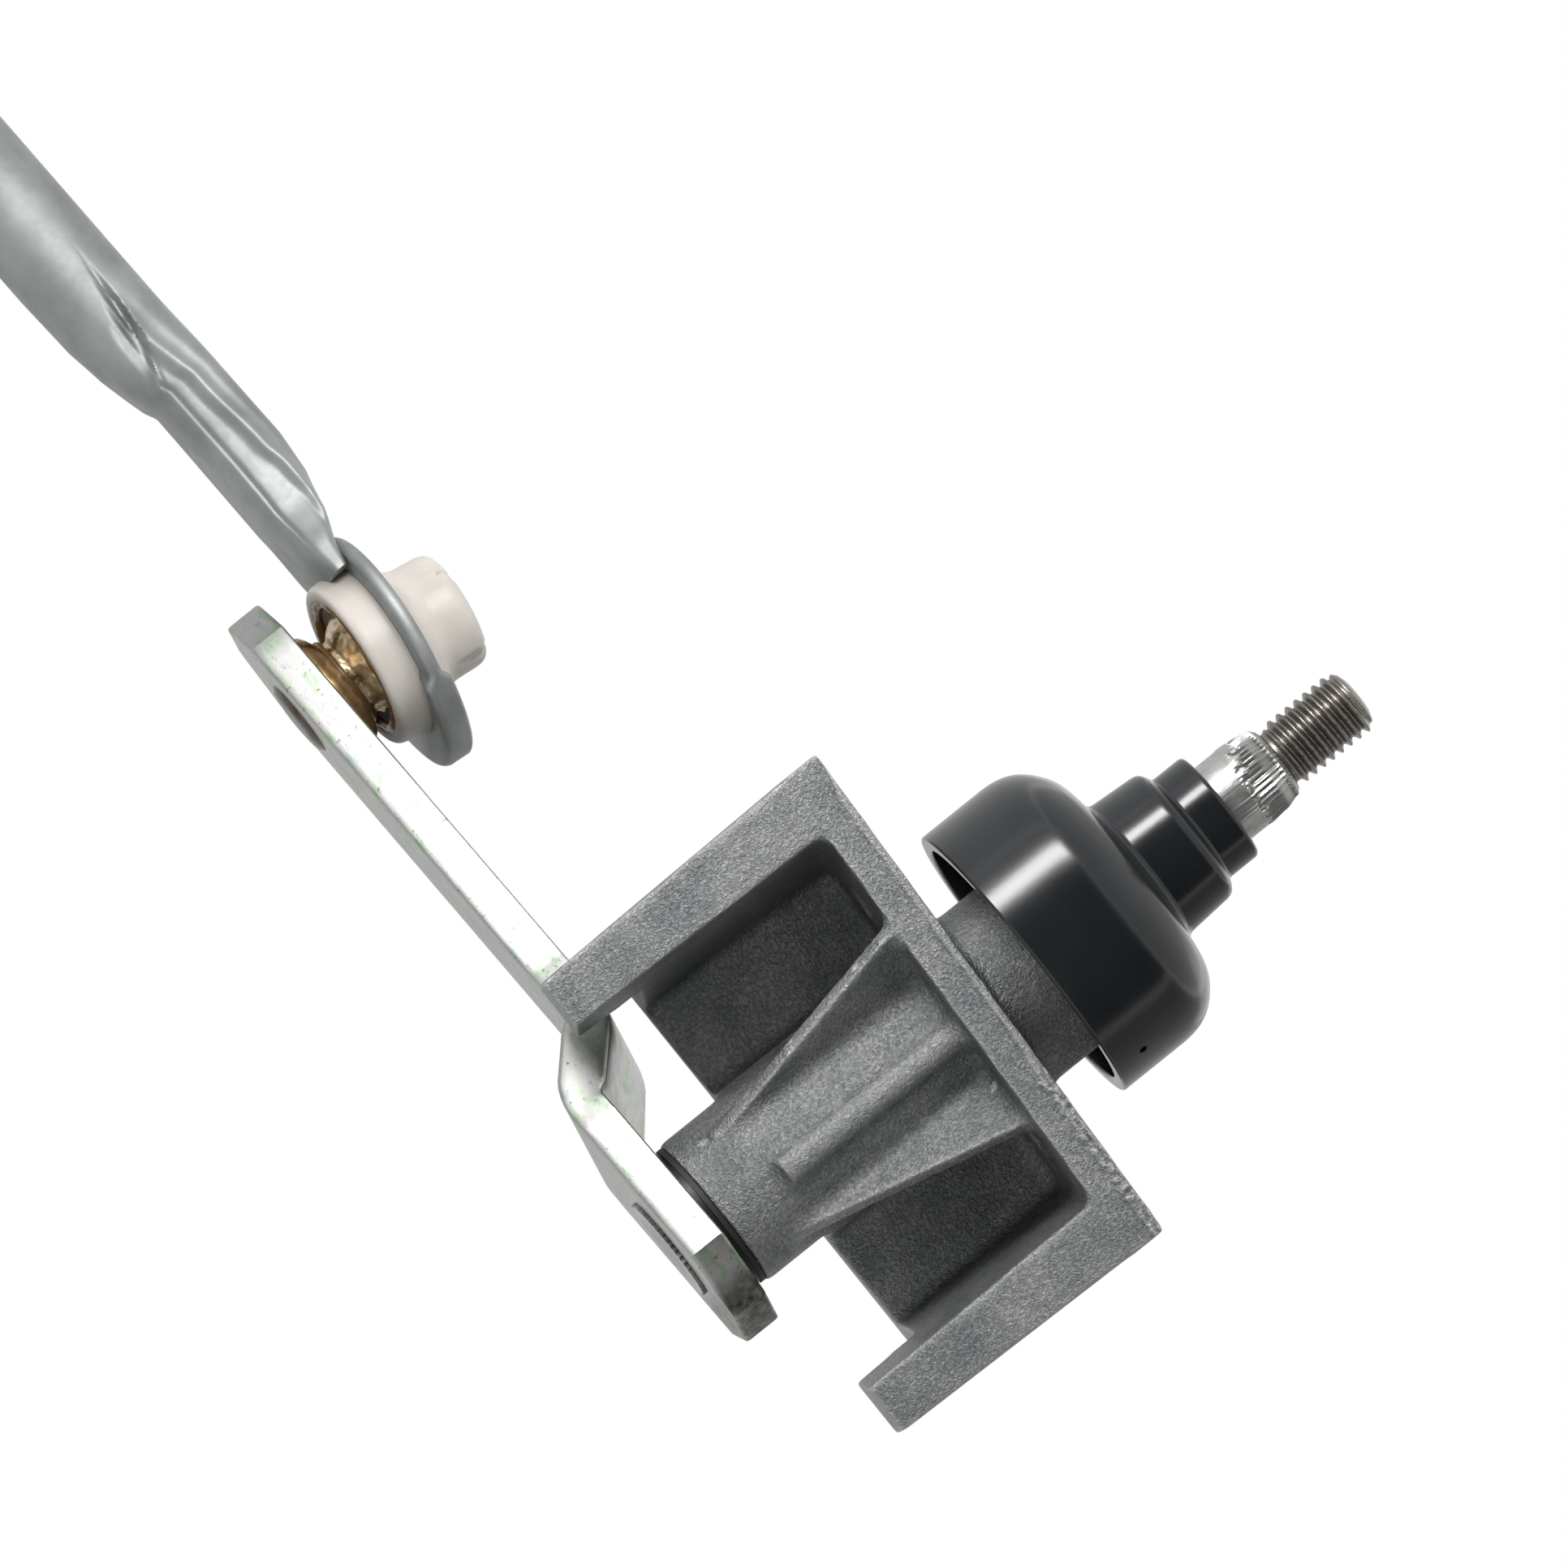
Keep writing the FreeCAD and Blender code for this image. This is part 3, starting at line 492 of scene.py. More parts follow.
def make_casting():
    """Rounded copy of the CAD housing with its parting line and flash."""
    mesh = frame["nodes"]["housing"].data.copy()
    work = bmesh.new()
    work.from_mesh(mesh)
    bmesh.ops.remove_doubles(work, verts=work.verts, dist=1e-6)
    work.to_mesh(mesh)
    work.free()
    mesh = remeshed(mesh, HOUSING_VOXEL * MM)
    pushed(mesh, HOUSING_CLOSING * MM)
    mesh = remeshed(mesh, HOUSING_VOXEL * MM)
    pushed(mesh, -HOUSING_CLOSING * MM)
    relaxed(mesh, HOUSING_SMOOTHING)
    low, _ = box_mm("housing")
    slope = math.tan(math.radians(FLANGE_SLOPE))
    for vertex in mesh.vertices:
        x, y, z = vertex.co / MM
        depth = -x * slope - z
        front = smooth_step(-y, -low.y - 0.9, -low.y - 0.3)
        if front > 0 and -0.3 < depth < 3.0:
            line = flash_height(x)
            raised = 1.0 - smooth_step(depth, line - 0.12, line + 0.22)
            rough = noise.noise(Vector((x * 1.6, z * 2.2, 1.0))) * FLASH_ROUGHNESS
            rough *= smooth_step(x, FLASH_START, FLASH_FULL)
            vertex.co.y -= (FLASH_STEP * raised + rough * raised) * front * MM
    return add_piece("cast_housing", mesh, LOOKS["cast_housing"], "housing_body",
                     ["housing"], 60.0)


# ---------------------------------------------------------------- splash cap

CAP_SHOULDER = 20.3
CAP_HOLE_TURN = -29.4
CAP_HOLE_HEIGHT = 9.6


def make_cap():
    """Stepped moulded cap: outer skin, inner skin, and a pin hole low on one side."""
    low, high = box_mm("splash_cap")
    radius = high.x
    corners = [
        (5.05, high.z, 0), (6.85, high.z, 0.7), (6.85, 29.6, 0.5), (7.55, 29.35, 0.4),
        (8.45, 28.7, 0.9), (8.9, 22.2, 0.8), (10.2, 21.8, 0.9),
        (13.6, CAP_SHOULDER + 1.0, 1.6), (16.5, CAP_SHOULDER - 1.3, 1.9),
        (radius, CAP_SHOULDER - 4.1, 2.2),
        (radius, low.z, 0.35), (radius - 1.9, low.z, 0.3),
        (radius - 1.9, CAP_SHOULDER - 5.0, 2.0), (14.6, CAP_SHOULDER - 2.0, 1.6),
        (7.6, CAP_SHOULDER - 0.5, 0.4), (7.2, 27.3, 0.4), (5.05, 28.2, 0)]
    profile = rounded_profile(corners, 8)
    columns = 160
    points, _ = turned(profile, columns)
    faces = looped_faces(len(profile), columns)
    cap = new_piece("splash_cap_skin", points, faces, LOOKS["cap_plastic"],
                    "spindle_body", ["splash_cap"], 50.0)
    cut_hole(cap, math.radians(CAP_HOLE_TURN), radius, CAP_HOLE_HEIGHT, 0.5)
    return cap


def cut_hole(piece, turn, radius, height, size):
    """Drill a small round hole through a turned wall."""
    matrix = (Matrix.Rotation(turn, 4, "Z") @ Matrix.Translation((radius, 0, height))
              @ Matrix.Rotation(math.radians(90), 4, "Y"))
    points, faces = turned([(-4.0, size), (4.0, size)], 20)
    mesh = bpy.data.meshes.new("drill")
    mesh.from_pydata([tuple(v * MM for v in p) for p in moved(points, matrix)], [], faces)
    drill = bpy.data.objects.new("drill", mesh)
    bpy.context.scene.collection.objects.link(drill)
    modifier = piece.modifiers.new("drill", "BOOLEAN")
    modifier.operation = "DIFFERENCE"
    modifier.object = drill
    modifier.solver = "EXACT"
    graph = bpy.context.evaluated_depsgraph_get()
    result = bpy.data.meshes.new_from_object(piece.evaluated_get(graph))
    piece.modifiers.clear()
    piece.data = result
    finish_mesh(result, 50.0)
    bpy.data.objects.remove(drill)


# ---------------------------------------------------------------- spindle

SERRATIONS = 46
PITCH = 1.25
THREAD_START = 42.3
THREAD_END = 52.6


def serration(turn, depth, teeth=SERRATIONS):
    """Depth of the V grooves at a turn."""
    phase = (turn * teeth / (2 * math.pi)) % 1.0
    return depth * abs(2 * phase - 1) ** 0.8


def cone_radius(height, turn):
    """Barrel-shaped cone with serrations that run out to points near its foot."""
    tooth = math.floor(turn * SERRATIONS / (2 * math.pi))
    start = 37.6 + 0.55 * math.sin(tooth * 2.4) - 1.3 * math.cos(turn + 0.7)
    depth = 0.34 * smooth_step(height, start, start + 1.0)
    depth *= 1.0 - 0.6 * smooth_step(height, 41.0, 41.5)
    base = table_value([(36.6, 5.0), (37.4, 5.08), (39.3, 4.95), (41.3, 4.5), (41.75, 4.05),
                        (42.0, 3.45)], height)
    return base - serration(turn, depth)


def thread_radius(height, turn):
    """Radius of the rolled screw thread."""
    phase = (height / PITCH - turn / (2 * math.pi)) % 1.0
    flank = abs(phase - 0.5) * 2
    shape = min(max((flank - 0.1) / 0.78, 0.0), 1.0)
    shape = smooth_step(shape, -0.12, 1.12)
    fade = smooth_step(height, THREAD_START, THREAD_START + 0.9)
    crest = 3.97 - 1.1 * smooth_step(height, THREAD_END - 0.75, THREAD_END + 0.75)
    root = min(3.28, crest)
    return crest - (crest - root) * (shape * fade + (1.0 - fade))


def make_spindle():
    """Turned spindle with its peened hub end, serrated cone and rolled thread."""
    low, high = box_mm("spindle")
    hub_face = low.z + 0.5
    columns = 400

    def knurled(height):
        return lambda turn: 6.4 - serration(turn, 0.42, 44) * (height < hub_face + 0.3)

    rows = [(low.z + 0.34, 0.02), (low.z + 0.3, 2.4), (low.z + 0.1, 4.6), (low.z, 5.3)]
    for height in (low.z + 0.02, low.z + 0.2, hub_face, hub_face + 0.25):
        rows.append((height, knurled(height)))
    rows += [(hub_face + 0.32, 6.38), (hub_face + 3.0, 6.38), (hub_face + 4.4, 6.38),
             (hub_face + 4.45, 5.0), (19.0, 5.0), (19.0, 4.5), (20.0, 4.5), (20.0, 5.0),
             (31.4, 5.0), (31.45, 4.3), (32.75, 4.3), (32.8, 5.0), (36.6, 5.0)]
    for step in range(1, 55):
        height = 36.6 + step * 0.1
        rows.append((height, lambda turn, height=height: cone_radius(height, turn)))
    steps = 128
    for step in range(steps + 1):
        height = 42.05 + (high.z - 0.35 - 42.05) * step / steps
        rows.append((height, lambda turn, height=height: thread_radius(height, turn)))
    rows += [(high.z - 0.2, 2.7), (high.z - 0.04, 2.3), (high.z, 1.2), (high.z, 0.02)]
    points, faces = turned(rows, columns)
    return new_piece("turned_spindle", points, faces, LOOKS["spindle_steel"],
                     "spindle_body", ["spindle"], 40.0)


# ---------------------------------------------------------------- crank lever

LEVER_TURN = -22.0
LEVER_LENGTH = 76.7
LEVER_THICKNESS = 4.45
LEVER_EDGE = 0.42
JOGGLE_START = -25.2
JOGGLE_LENGTH = 10.9
JOGGLE_ROUNDING = 0.26


def lever_frame():
    """Lever coordinates: X from the ball towards the spindle, turned about the spindle."""
    return Matrix.Rotation(math.radians(LEVER_TURN), 4, "Z")


def lever_section(half_width, half_height, bend=LEVER_EDGE, steps=3):
    """Rounded rectangle across the lever as (y, z) points."""
    bend = min(bend, half_width * 0.45, half_height * 0.45)
    points = []
    for side_y, side_z, start in ((1, 1, 0), (-1, 1, 90), (-1, -1, 180), (1, -1, 270)):
        for step in range(steps + 1):
            turn = math.radians(start + 90 * step / steps)
            points.append((side_y * (half_width - bend) + bend * math.cos(turn),
                           side_z * (half_height - bend) + bend * math.sin(turn)))
    return points


def divided(section, pieces):
    """Add points along the long runs of a closed section."""
    result = []
    for number, first in enumerate(section):
        second = section[(number + 1) % len(section)]
        result.append(first)
        length = math.dist(first, second)
        count = pieces if length > 2.0 else 1
        for step in range(1, count):
            share = step / count
            result.append((first[0] + (second[0] - first[0]) * share,
                           first[1] + (second[1] - first[1]) * share))
    return result


def make_lever():
    """Pressed lever with a smooth joggle, faceted ends, rolled edges and worn corners."""
    low, high = box_mm("crank_lever")
    thick = LEVER_THICKNESS
    rise = high.z - low.z - thick
    start, end = 12.8, -LEVER_LENGTH - 12.45
    width_table = [(end, 3.4), (-LEVER_LENGTH - 6.0, 9.5), (-32.0, 9.5), (-12.0, 13.0),
                   (7.5, 13.0), (start, 4.2)]

    def half_width(x):
        for (first, one), (second, two) in zip(width_table, width_table[1:]):
            if x <= second:
                return one + (two - one) * (x - first) / (second - first)
        return width_table[-1][1]

    def lift(x):
        return rise * (1.0 - bend_share((x - JOGGLE_START) / JOGGLE_LENGTH))

    places = [start - 0.02, start - 0.12, start - 0.3, 12.0, 11.0, 9.2, 7.52, 7.48]
    places += [6.5 - step for step in range(18)]
    places += [-11.98, -12.02] + [-12.6 - 0.6 * step for step in range(33)]
    places += [-33.0 - 2.0 * step for step in range(24)]
    places += [-LEVER_LENGTH - 3.0, -LEVER_LENGTH - 5.98, -LEVER_LENGTH - 6.02, end + 4.0,
               end + 2.0, end + 1.0, end + 0.3, end + 0.12, end + 0.02]
    places = sorted(set(places), reverse=True)
    points = []
    count = 0
    for place in places:
        tip = min(start - place, place - end)
        inward = 1.0 - min(tip / LEVER_EDGE, 1.0)
        shrink = LEVER_EDGE * (1.0 - math.sqrt(max(0.0, 1.0 - inward ** 2)))
        section = divided(lever_section(half_width(place) - shrink, thick / 2 - shrink), 6)
        count = len(section)
        for y, z in section:
            wave = 0.035 * noise.noise(Vector((place * 0.4, y * 0.3, z * 0.6)))
            tilt = (lift(place + 0.1) - lift(place - 0.1)) / 0.2
            points.append((place - tilt * z * 0.85, y + wave,
                           low.z + thick / 2 + lift(place) + z + wave * 0.4))
    faces = grid_faces(len(places), count)
    return new_piece("pressed_lever", moved(points, lever_frame()), faces,
                     LOOKS["zinc_plate"], "spindle_body", ["crank_lever"], 28.0)


def bend_share(value):
    """S shape of the joggle: rounded at both ends and straight between."""
    value = min(max(value, 0.0), 1.0)
    turn = JOGGLE_ROUNDING
    if value > 0.5:
        return 1.0 - bend_share(1.0 - value)
    if value < turn:
        return value * value / (2.0 * turn * (1.0 - turn))
    return (value - turn / 2.0) / (1.0 - turn)


# ---------------------------------------------------------------- ball joints

EYE_SLOPE = 8.0
EYE_ROLL = -3.0
ROD_LENGTH = 300.0
BALL_RADIUS = 7.0
STUD_HEIGHT = 8.4
NOTCHES = [math.radians(turn) for turn in (-112.0, -22.0, 68.0, 158.0)]


def rod_frame():
    """Rod coordinates: origin at the near ball, X along the rod, Z out of its eyes."""
    near = joint_place("rod_swing")
    far = Vector(MOUNTS["crank_socket"]["pos_m"]) / MM
    ahead = (near - far).normalized()
    far_axis = -Vector(MOUNTS["crank_socket"]["axis"]).normalized()
    slope = math.radians(EYE_SLOPE)
    up = (far_axis + ahead * math.sin(slope)).normalized()
    across = up.cross(ahead).normalized()
    basis = Matrix((ahead, across, up)).transposed().to_4x4()
    return Matrix.Translation(near) @ basis


def end_frame(far):
    """Coordinates of an eye and its socket."""
    slope = math.radians(EYE_SLOPE)
    here = Matrix.Rotation(-slope if far else slope, 4, "Y")
    if far:
        here = Matrix.Translation((-ROD_LENGTH, 0, 0)) @ here @ Matrix.Rotation(math.pi, 4, "Z")
    return rod_frame() @ here @ Matrix.Rotation(math.radians(EYE_ROLL), 4, "X")


def make_socket(name, node, far):
    """Moulded ball socket: flared skirt, concave neck, domed top with small notches."""
    def notched(radius, height):
        def reach(turn):
            near = min(abs((turn - centre + math.pi) % (2 * math.pi) - math.pi)
                       for centre in NOTCHES)
            cut = 1.0 - smooth_step(near, 0.1, 0.13)
            return radius - 0.35 * cut * smooth_step(height, 5.8, 6.2)
        return reach

    corners = [
        (0.02, 8.5, 0), (3.6, 8.5, 0.6), (4.1, 8.75, 0.4), (6.9, 8.8, 1.7),
        (7.05, 3.5, 1.3), (8.7, 2.1, 0.9), (10.3, 1.35, 0.5), (10.3, 0.2, 0.2),
        (10.3, -0.95, 0.3), (10.4, -1.3, 0.3), (9.9, -4.9, 0.9), (8.5, -4.95, 0.5),
        (6.6, -2.7, 0.4), (6.8, -1.9, 0.3), (7.05, 0.0, 1.0), (5.5, 4.4, 2.0), (0.02, 7.0, 0)]
    profile = rounded_profile(corners, 6)
    rows = [(height, notched(radius, height) if height > 4.5 and radius > 4.5 else radius)
            for height, radius in profile]
    points, faces = turned(rows, 144)
    return new_piece(name, moved(points, end_frame(far)), faces, LOOKS["socket_plastic"],
                     "rod_body", [node], 45.0)


def make_ball_stud():
    """Riveted ball stud smeared with grease that has wrinkled round the ball."""
    under = -STUD_HEIGHT - LEVER_THICKNESS
    rows = [(under - 0.72, 0.02), (under - 0.7, 2.4), (under - 0.55, 3.8),
            (under - 0.15, 4.5), (under, 4.62), (under + 0.1, 4.0),
            (-8.5, 4.0), (-8.45, 7.2), (-8.3, 7.4), (-8.1, 7.35), (-7.6, 6.9), (-7.1, 6.2),
            (-6.8, 5.7), (-6.5, 5.0), (-6.2, 4.7), (-5.9, 4.6), (-5.6, 4.6)]
    first = math.asin(-5.36 / BALL_RADIUS)
    for step in range(60):
        lift = first + (math.pi / 2 - 0.005 - first) * step / 59
        rows.append((BALL_RADIUS * math.sin(lift), BALL_RADIUS * math.cos(lift)))
    points, faces = turned(rows, 180)
    centre = joint_place("rod_swing")
    smeared = []
    for x, y, z in points:
        spot = Vector((x, y, z))
        if -8.3 < z < -2.2:
            low_part = smooth_step(z, -8.2, -7.4) * (1.0 - smooth_step(z, -3.4, -2.2))
            fold = abs(noise.noise(Vector((x * 0.55, y * 0.55, z * 1.1)))) * 0.9
            fine = noise.noise(Vector((x * 2.0, y * 2.0, z * 2.6))) * 0.16
            reach = 0.55 * low_part * (fold + fine)
            reach += 0.5 * smooth_step(z, -5.9, -5.0) * low_part * noise_lump(x, y)
            spot += Vector((x, y, 0)).normalized() * reach
        smeared.append(tuple(spot + centre))
    return new_piece("greased_ball_stud", smeared, faces, LOOKS["stud_steel"],
                     "spindle_body", ["ball_stud"], 60.0)


def make_grease():
    """Lumpy ring of brown grease squeezed out inside the mouth of the near socket."""
    points = []
    columns, around = 120, 14
    for column in range(columns):
        turn = 2 * math.pi * column / columns
        lump = 0.5 + 0.5 * noise.noise(Vector((math.cos(turn) * 2.4, math.sin(turn) * 2.4, 7)))
        fine = noise.noise(Vector((math.cos(turn) * 9, math.sin(turn) * 9, 2.0)))
        thick = 0.35 + 0.5 * lump + 0.12 * fine
        for step in range(around):
            bend = 2 * math.pi * step / around
            radius = 7.95 + thick * math.cos(bend)
            points.append((radius * math.cos(turn), radius * math.sin(turn),
                           -4.35 - 0.25 * lump + thick * 0.8 * math.sin(bend)))
    piece = new_piece("grease_ring", moved(points, end_frame(False)),
                      looped_faces(columns, around), LOOKS["grease"], "rod_body", [], 80.0)
    return piece


def noise_lump(x, y):
    """Uneven build-up of grease round the ball."""
    return max(0.0, 0.35 + noise.noise(Vector((x * 0.35, y * 0.35, 4.0))) * 1.2)


def make_dust_seal():
    """Soft ring round the stud's neck, brown with grease."""
    low, _ = box_mm("near_dust_seal")
    centre = joint_place("rod_swing")
    base = low.z - centre.z
    profile = rounded_profile([
        (4.7, base + 0.05, 0), (5.45, base + 0.02, 0.2), (5.6, base + 0.4, 0.3),
        (5.3, base + 0.76, 0.2), (4.7, base + 0.78, 0)], 4)
    columns = 96
    points, _ = turned(profile, columns)
    faces = looped_faces(len(profile), columns)
    lumpy = [tuple(Vector((x, y, z)) * (1.0 - 0.02 * abs(noise.noise(Vector((x, y, z)))))
                   + centre) for x, y, z in points]
    return new_piece("greasy_dust_seal", lumpy, faces, LOOKS["greasy_rubber"], "seal_body",
                     ["near_dust_seal"], 60.0)


# ---------------------------------------------------------------- link rod

ROD_TOP = [(8.8, 1.0), (11.8, 1.9), (15.9, 3.9), (20.6, 5.3), (25.7, 5.9), (300.0, 5.9)]
ROD_BOTTOM = [(8.8, -1.6), (12.0, -2.0), (19.0, -2.6), (36.6, -2.7), (38.0, -3.4),
              (40.5, -4.1), (43.5, -4.9), (48.0, -5.6), (56.0, -5.9), (300.0, -5.9)]
ROD_WIDTH = [(8.8, 9.8), (12.0, 9.2), (19.0, 6.9), (37.0, 6.6), (50.0, 5.9), (300.0, 5.9)]
ROD_BOX = [(8.8, 3.6), (19.0, 3.2), (37.0, 2.8), (47.0, 2.0), (300.0, 2.0)]
RIDGE = [(12.0, 0.9), (17.0, 0.62), (21.6, 0.37), (25.8, 0.14), (35.0, -0.02), (45.0, -0.12),
         (50.0, -0.12)]
POCKET_EDGE = [(-1.0, 36.6), (-0.37, 37.1), (-0.17, 38.4), (0.0, 40.8), (0.12, 43.6),
               (0.2, 46.0), (0.3, 50.0)]


def plain_value(table, value):
    """Straight interpolation in a table of rising places."""
    if value <= table[0][0]:
        return table[0][1]
    for (low, first), (high, second) in zip(table, table[1:]):
        if value <= high:
            return first + (second - first) * (value - low) / (high - low)
    return table[-1][1]


def rod_ring(distance, columns):
    """Cross-section of the rod at a distance from the nearer ball, as (y, z) points."""
    top = plain_value(ROD_TOP, distance)
    bottom = plain_value(ROD_BOTTOM, distance)
    width = table_value(ROD_WIDTH, distance)
    power = table_value(ROD_BOX, distance)
    middle, half = (top + bottom) / 2, (top - bottom) / 2
    crimped = 1.0 - smooth_step(distance, 46.0, 50.0)
    ridge = table_value(RIDGE, distance)
    ring = []
    for column in range(columns):
        turn = 2 * math.pi * column / columns
        flat_y = -math.copysign(abs(math.cos(turn)) ** (2 / power), math.cos(turn))
        flat_z = math.copysign(abs(math.sin(turn)) ** (2 / power), math.sin(turn))
        y, z = width * flat_y, middle + half * flat_z
        if flat_y < 0 and distance < 62.0:
            y += front_dent(distance, z / 5.9, flat_z, ridge, crimped) * min(1, -flat_y * 2)
        elif distance < 46.0:
            seam = math.exp(-((flat_z + 0.1) / 0.12) ** 2)
            y -= 1.3 * seam * (1.0 - smooth_step(distance, 42.0, 46.0)) * min(1, flat_y * 2)
        ring.append((y, z))
    return ring


def front_dent(distance, level, flat_z, ridge, crimped):
    """How far the near side is pressed in: ledge below the ridge, groove, open pocket."""
    edge = table_value(POCKET_EDGE, level)
    beyond = smooth_step(distance, edge - 0.5, edge + 0.5)
    ledge = 0.75 * (1.0 - smooth_step(flat_z, ridge - 0.2, ridge + 0.12))
    lip = -0.3 * math.exp(-((flat_z - ridge - 0.16) / 0.12) ** 2)
    groove = 0.22 * math.exp(-((flat_z + 0.55) / 0.07) ** 2)
    upper = 0.25 * math.exp(-((flat_z - ridge - 0.45) / 0.16) ** 2)
    pressed = (ledge + lip + groove + upper) * crimped * (1.0 - beyond)
    pressed *= smooth_step(distance, 11.0, 15.0)
    hollow = 0.0
    if level < 0.3:
        reach = distance - edge
        deep = smooth_step(reach, -1.2, 2.0) * (1.0 - smooth_step(reach, 2.0, 9.0))
        hollow = 1.5 * deep * (1.0 - smooth_step(level, 0.1, 0.3))
        hollow *= smooth_step(level, -1.0, -0.55)
    return pressed + hollow


def rod_stations():
    """Distances along the rod, close together where it is crimped."""
    near = [8.8 + 0.35 * step for step in range(150)]
    last = near[-1]
    middle = [last + (ROD_LENGTH - 2 * last) * step / 40 for step in range(1, 40)]
    return near + middle + [ROD_LENGTH - place for place in reversed(near)]


LAP_START = 52.0
LAP_END = 56.0
NEAR_EYE_REACH = 1.3


def make_eye(far):
    """Eye plate with a rounded rim and a thicker, lapped free end, longer on the near eye."""
    profile = rounded_profile([
        (9.2, -0.85, 0), (13.4, -0.9, 0.5), (13.8, 0.0, 0.5), (13.35, 0.85, 0.5),
        (10.8, 0.95, 0.5), (9.2, 0.95, 0)], 5)
    columns = 160
    points = []
    for height, radius in profile:
        for column in range(columns):
            turn = 2 * math.pi * column / columns
            side = abs((turn + math.pi) % (2 * math.pi) - math.pi)
            lap = 1.0 - smooth_step(side, math.radians(LAP_START), math.radians(LAP_END))
            reach, lift = radius, height
            spread = lap * smooth_step(radius, 10.6, 12.6)
            lift += (0.75 if height > 0.3 else -0.95) * spread
            if radius > 13.0:
                reach -= 0.25 * lap * (math.cos(side) - 0.5)
            if radius > 13.0 and not far:
                reach += NEAR_EYE_REACH * (1.0 - smooth_step(side, 0.0, math.radians(60)))
            points.append((reach * math.cos(turn), reach * math.sin(turn), lift))
    return moved(points, end_frame(far)), looped_faces(len(profile), columns)


def make_rod():
    """Tubular link rod, folded flat at both ends, with its two eyes."""
    columns = 200
    rod = rod_frame()
    points = []
    stations = rod_stations()
    for place in stations:
        distance = min(place, ROD_LENGTH - place)
        for y, z in rod_ring(distance, columns):
            points.append(tuple(rod @ Vector((-place, y, z))))
    faces = grid_faces(len(stations), columns)
    for far in (False, True):
        more, more_faces = make_eye(far)
        base = len(points)
        points += more
        faces += [tuple(base + number for number in face) for face in more_faces]
    return new_piece("folded_link_rod", points, faces, LOOKS["galvanised_tube"], "rod_body",
                     ["link_rod"], 50.0)


make_casting()
make_cap()
make_spindle()
make_lever()
make_ball_stud()
make_dust_seal()
make_grease()
make_socket("near_moulded_socket", "near_ball_socket", False)
make_socket("far_moulded_socket", "far_ball_socket", True)
make_rod()

# ---------------------------------------------------------------- camera, light and floor

VIEW_ROLL = 51.2
VIEW_RISE = 4.8
VIEW_DISTANCE = 5.0
VIEW_WIDTH = 0.17235
VIEW_SHIFT_RIGHT = -0.0217
VIEW_SHIFT_UP = 0.0235
SKY_SCALE = 10.0
SKY_TURN = [(-180.0, 0.8), (-84.0, 0.9), (-75.0, 1.5), (-72.0, 0.8), (-64.0, 1.0),
            (-52.0, 2.9), (-40.0, 4.4), (-37.5, 0.07), (76.0, 0.06), (79.0, 1.0),
            (83.0, 1.0), (86.0, 0.3), (110.0, 0.35), (180.0, 0.7)]
SKY_LIFT = [(-90.0, 1.0), (-38.0, 0.8), (-33.0, 0.0), (26.0, 0.0), (29.0, 1.0), (90.0, 1.0)]
SKY_ABOVE = [(-90.0, 0.22), (0.0, 0.2), (28.0, 1.6), (33.0, 0.8), (90.0, 1.1)]


def make_camera():
    """Camera at the photograph's angle: a little from below, rolled, from far away."""
    rise = math.radians(VIEW_RISE)
    roll = math.radians(VIEW_ROLL)
    ahead = Vector((0.0, math.cos(rise), math.sin(rise)))
    right = Vector((1.0, 0.0, 0.0))
    up = right.cross(ahead)
    turned_right = right * math.cos(roll) + up * math.sin(roll)
    turned_up = up * math.cos(roll) - right * math.sin(roll)
    data = bpy.data.cameras.new("camera")
    data.sensor_width = 36.0
    data.lens = data.sensor_width * VIEW_DISTANCE / VIEW_WIDTH
    data.clip_start, data.clip_end = 0.05, 50.0
    camera = bpy.data.objects.new("camera", data)
    bpy.context.scene.collection.objects.link(camera)
    basis = Matrix((turned_right, turned_up, -ahead)).transposed().to_4x4()
    spot = turned_right * VIEW_SHIFT_RIGHT + turned_up * VIEW_SHIFT_UP - ahead * VIEW_DISTANCE
    camera.matrix_world = Matrix.Translation(spot) @ basis
    bpy.context.scene.camera = camera


def area_light(name, spot, target, size, power):
    """A rectangular soft light aimed at a point."""
    data = bpy.data.lights.new(name, "AREA")
    data.shape = "RECTANGLE"
    data.size, data.size_y = size
    data.energy = power
    light = bpy.data.objects.new(name, data)
    bpy.context.scene.collection.objects.link(light)
    light.location = spot
    light.rotation_mode = "QUATERNION"
    light.rotation_quaternion = (target - spot).to_track_quat("-Z", "Y")


def make_lights():
    """A near key from the left that fades across the casting, and a weak light behind."""
    middle = Vector((-0.02, 0.0, 0.0))
    area_light("key", Vector((-0.135, -0.125, 0.03)), middle, (0.04, 0.12), 0.32)
    area_light("back", Vector((0.2, 1.0, 0.6)), middle, (1.0, 0.8), 1.0)


def degrees_ramp(tree, value, stops, low, high):
    """Brightness over an angle in degrees, from (angle, level) stops, divided by SKY_SCALE."""
    share = add_node(tree, "ShaderNodeMapRange",
                     {"Value": value, "From Min": math.radians(low),
                      "From Max": math.radians(high)}).outputs["Result"]
    places = [((angle - low) / (high - low), grey(level / SKY_SCALE)) for angle, level in stops]
    return ramp(tree, share, places)


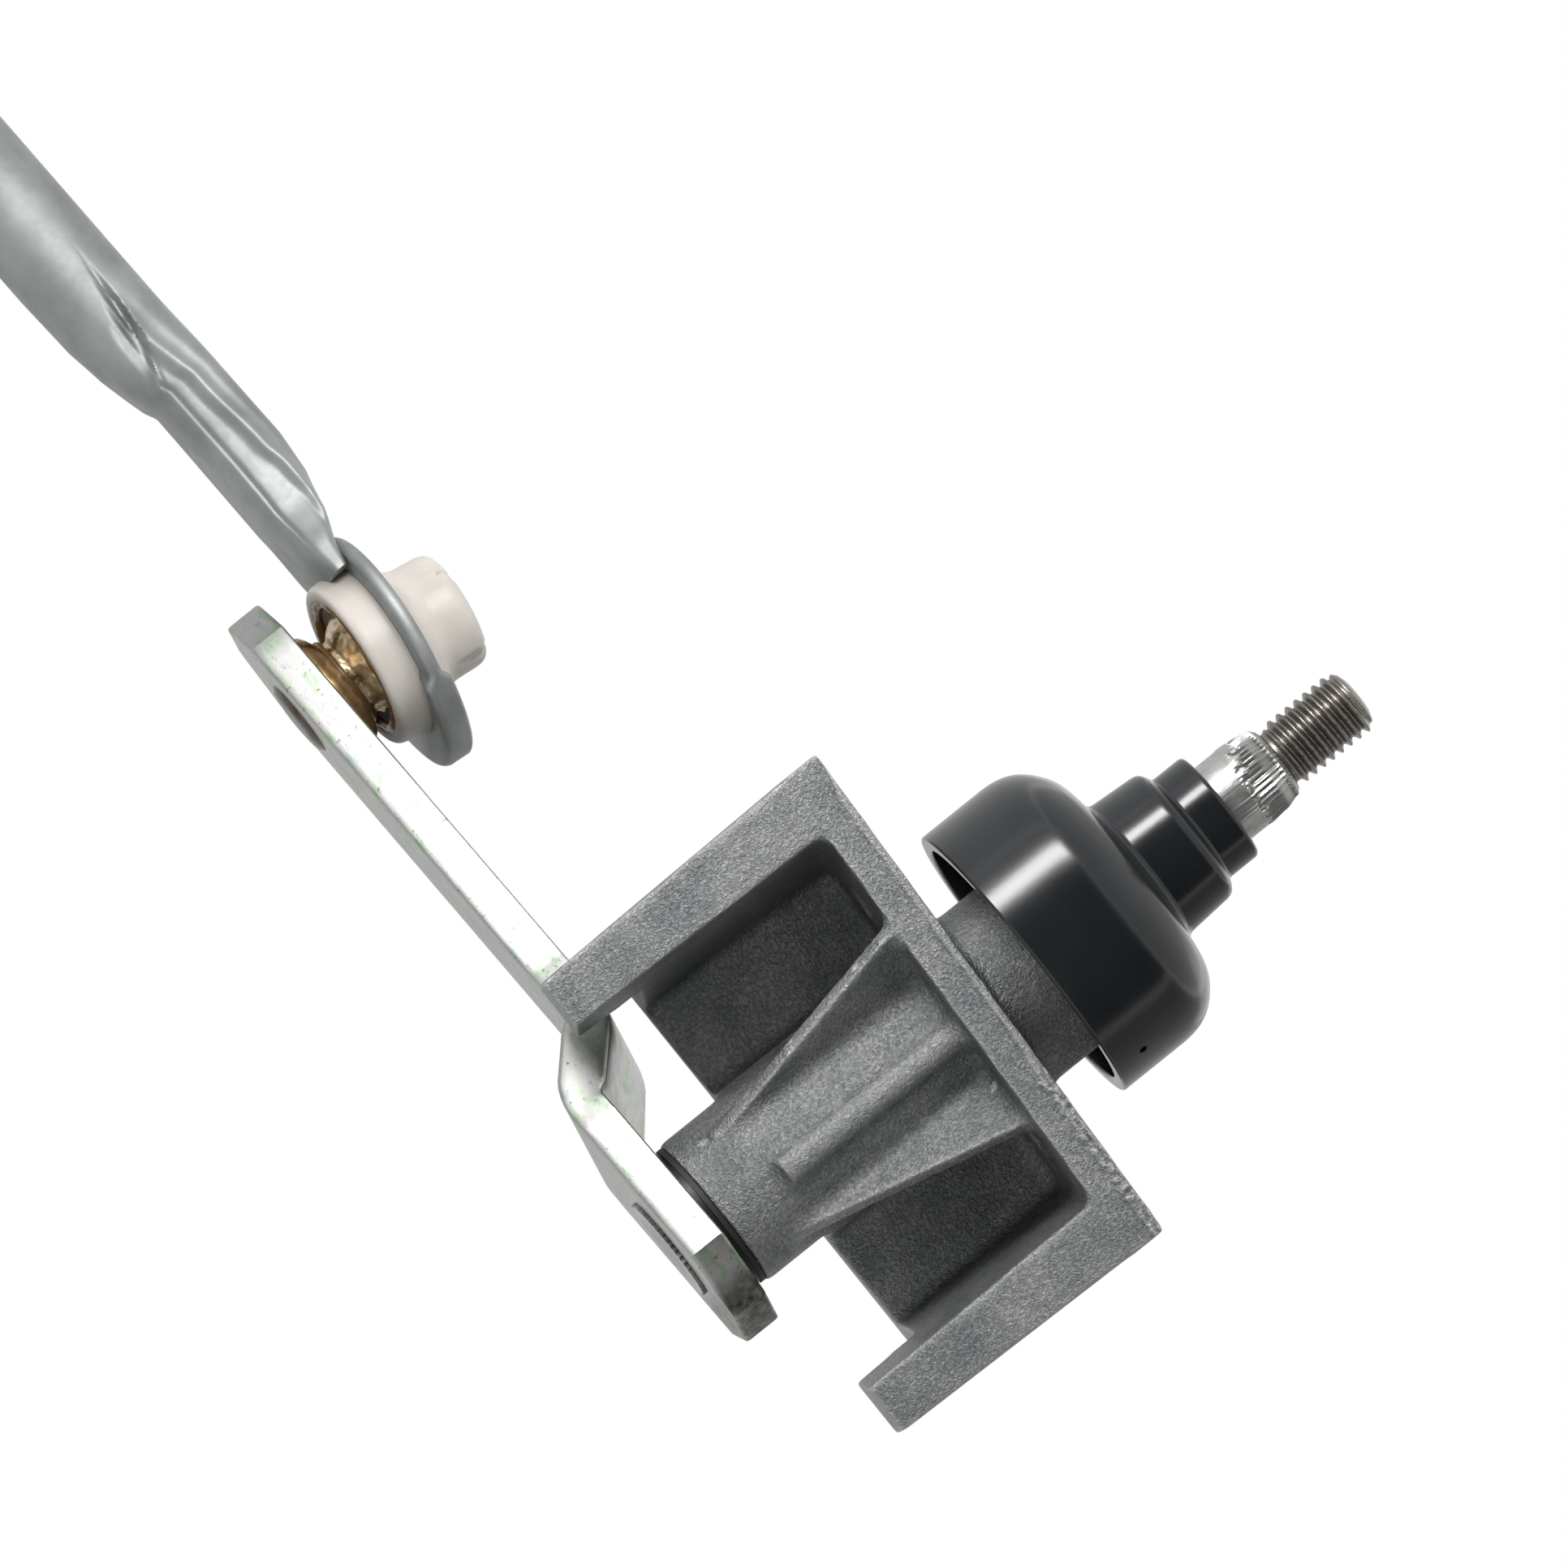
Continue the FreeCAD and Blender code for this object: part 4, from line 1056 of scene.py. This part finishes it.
def make_world():
    """White for the eye; for the object, a studio with a window and a dark camera side."""
    world = bpy.data.worlds.new("studio")
    world.use_nodes = True
    tree = world.node_tree
    seen = tree.nodes["Background"]
    seen.inputs["Color"].default_value = (1.0, 1.0, 1.0, 1.0)
    where = add_node(tree, "ShaderNodeTexCoord").outputs["Generated"]
    parts = add_node(tree, "ShaderNodeSeparateXYZ", {"Vector": where})
    ahead = add_node(tree, "ShaderNodeMath", {0: parts.outputs["Y"], 1: -1.0},
                     operation="MULTIPLY").outputs["Value"]
    turn = add_node(tree, "ShaderNodeMath", {0: parts.outputs["X"], 1: ahead},
                    operation="ARCTAN2").outputs["Value"]
    lift = add_node(tree, "ShaderNodeMath", {0: parts.outputs["Z"]},
                    operation="ARCSINE").outputs["Value"]
    around = degrees_ramp(tree, turn, SKY_TURN, -180.0, 180.0)
    above = degrees_ramp(tree, lift, SKY_ABOVE, -90.0, 90.0)
    share = degrees_ramp(tree, lift, [(angle, level * SKY_SCALE) for angle, level in SKY_LIFT],
                         -90.0, 90.0)
    mixed = add_node(tree, "ShaderNodeMix", {"Factor": share}, data_type="RGBA")
    tree.links.new(around, mixed.inputs[6])
    tree.links.new(above, mixed.inputs[7])
    lighting = add_node(tree, "ShaderNodeBackground",
                        {"Color": mixed.outputs[2], "Strength": SKY_SCALE})
    path = add_node(tree, "ShaderNodeLightPath")
    mix = add_node(tree, "ShaderNodeMixShader", {0: path.outputs["Is Camera Ray"]})
    tree.links.new(lighting.outputs["Background"], mix.inputs[1])
    tree.links.new(seen.outputs["Background"], mix.inputs[2])
    tree.links.new(mix.outputs["Shader"], tree.nodes["World Output"].inputs["Surface"])
    bpy.context.scene.world = world
    bpy.context.scene.view_settings.view_transform = "Standard"


def make_floor():
    """Plain pale floor, well below the object."""
    half = 15.0
    low = cad_low[2] - 1.0
    mesh = bpy.data.meshes.new("floor")
    corners = [(-half, -half, low), (half, -half, low), (half, half, low), (-half, half, low)]
    mesh.from_pydata(corners, [], [(0, 1, 2, 3)])
    floor = bpy.data.objects.new("floor", mesh)
    bpy.context.scene.collection.objects.link(floor)
    material, _, shader = node_tree("floor_paint")
    shader.inputs["Base Color"].default_value = (0.9, 0.9, 0.9, 1.0)
    shader.inputs["Roughness"].default_value = 0.7
    mesh.materials.append(material)


make_camera()
make_lights()
make_world()
make_floor()
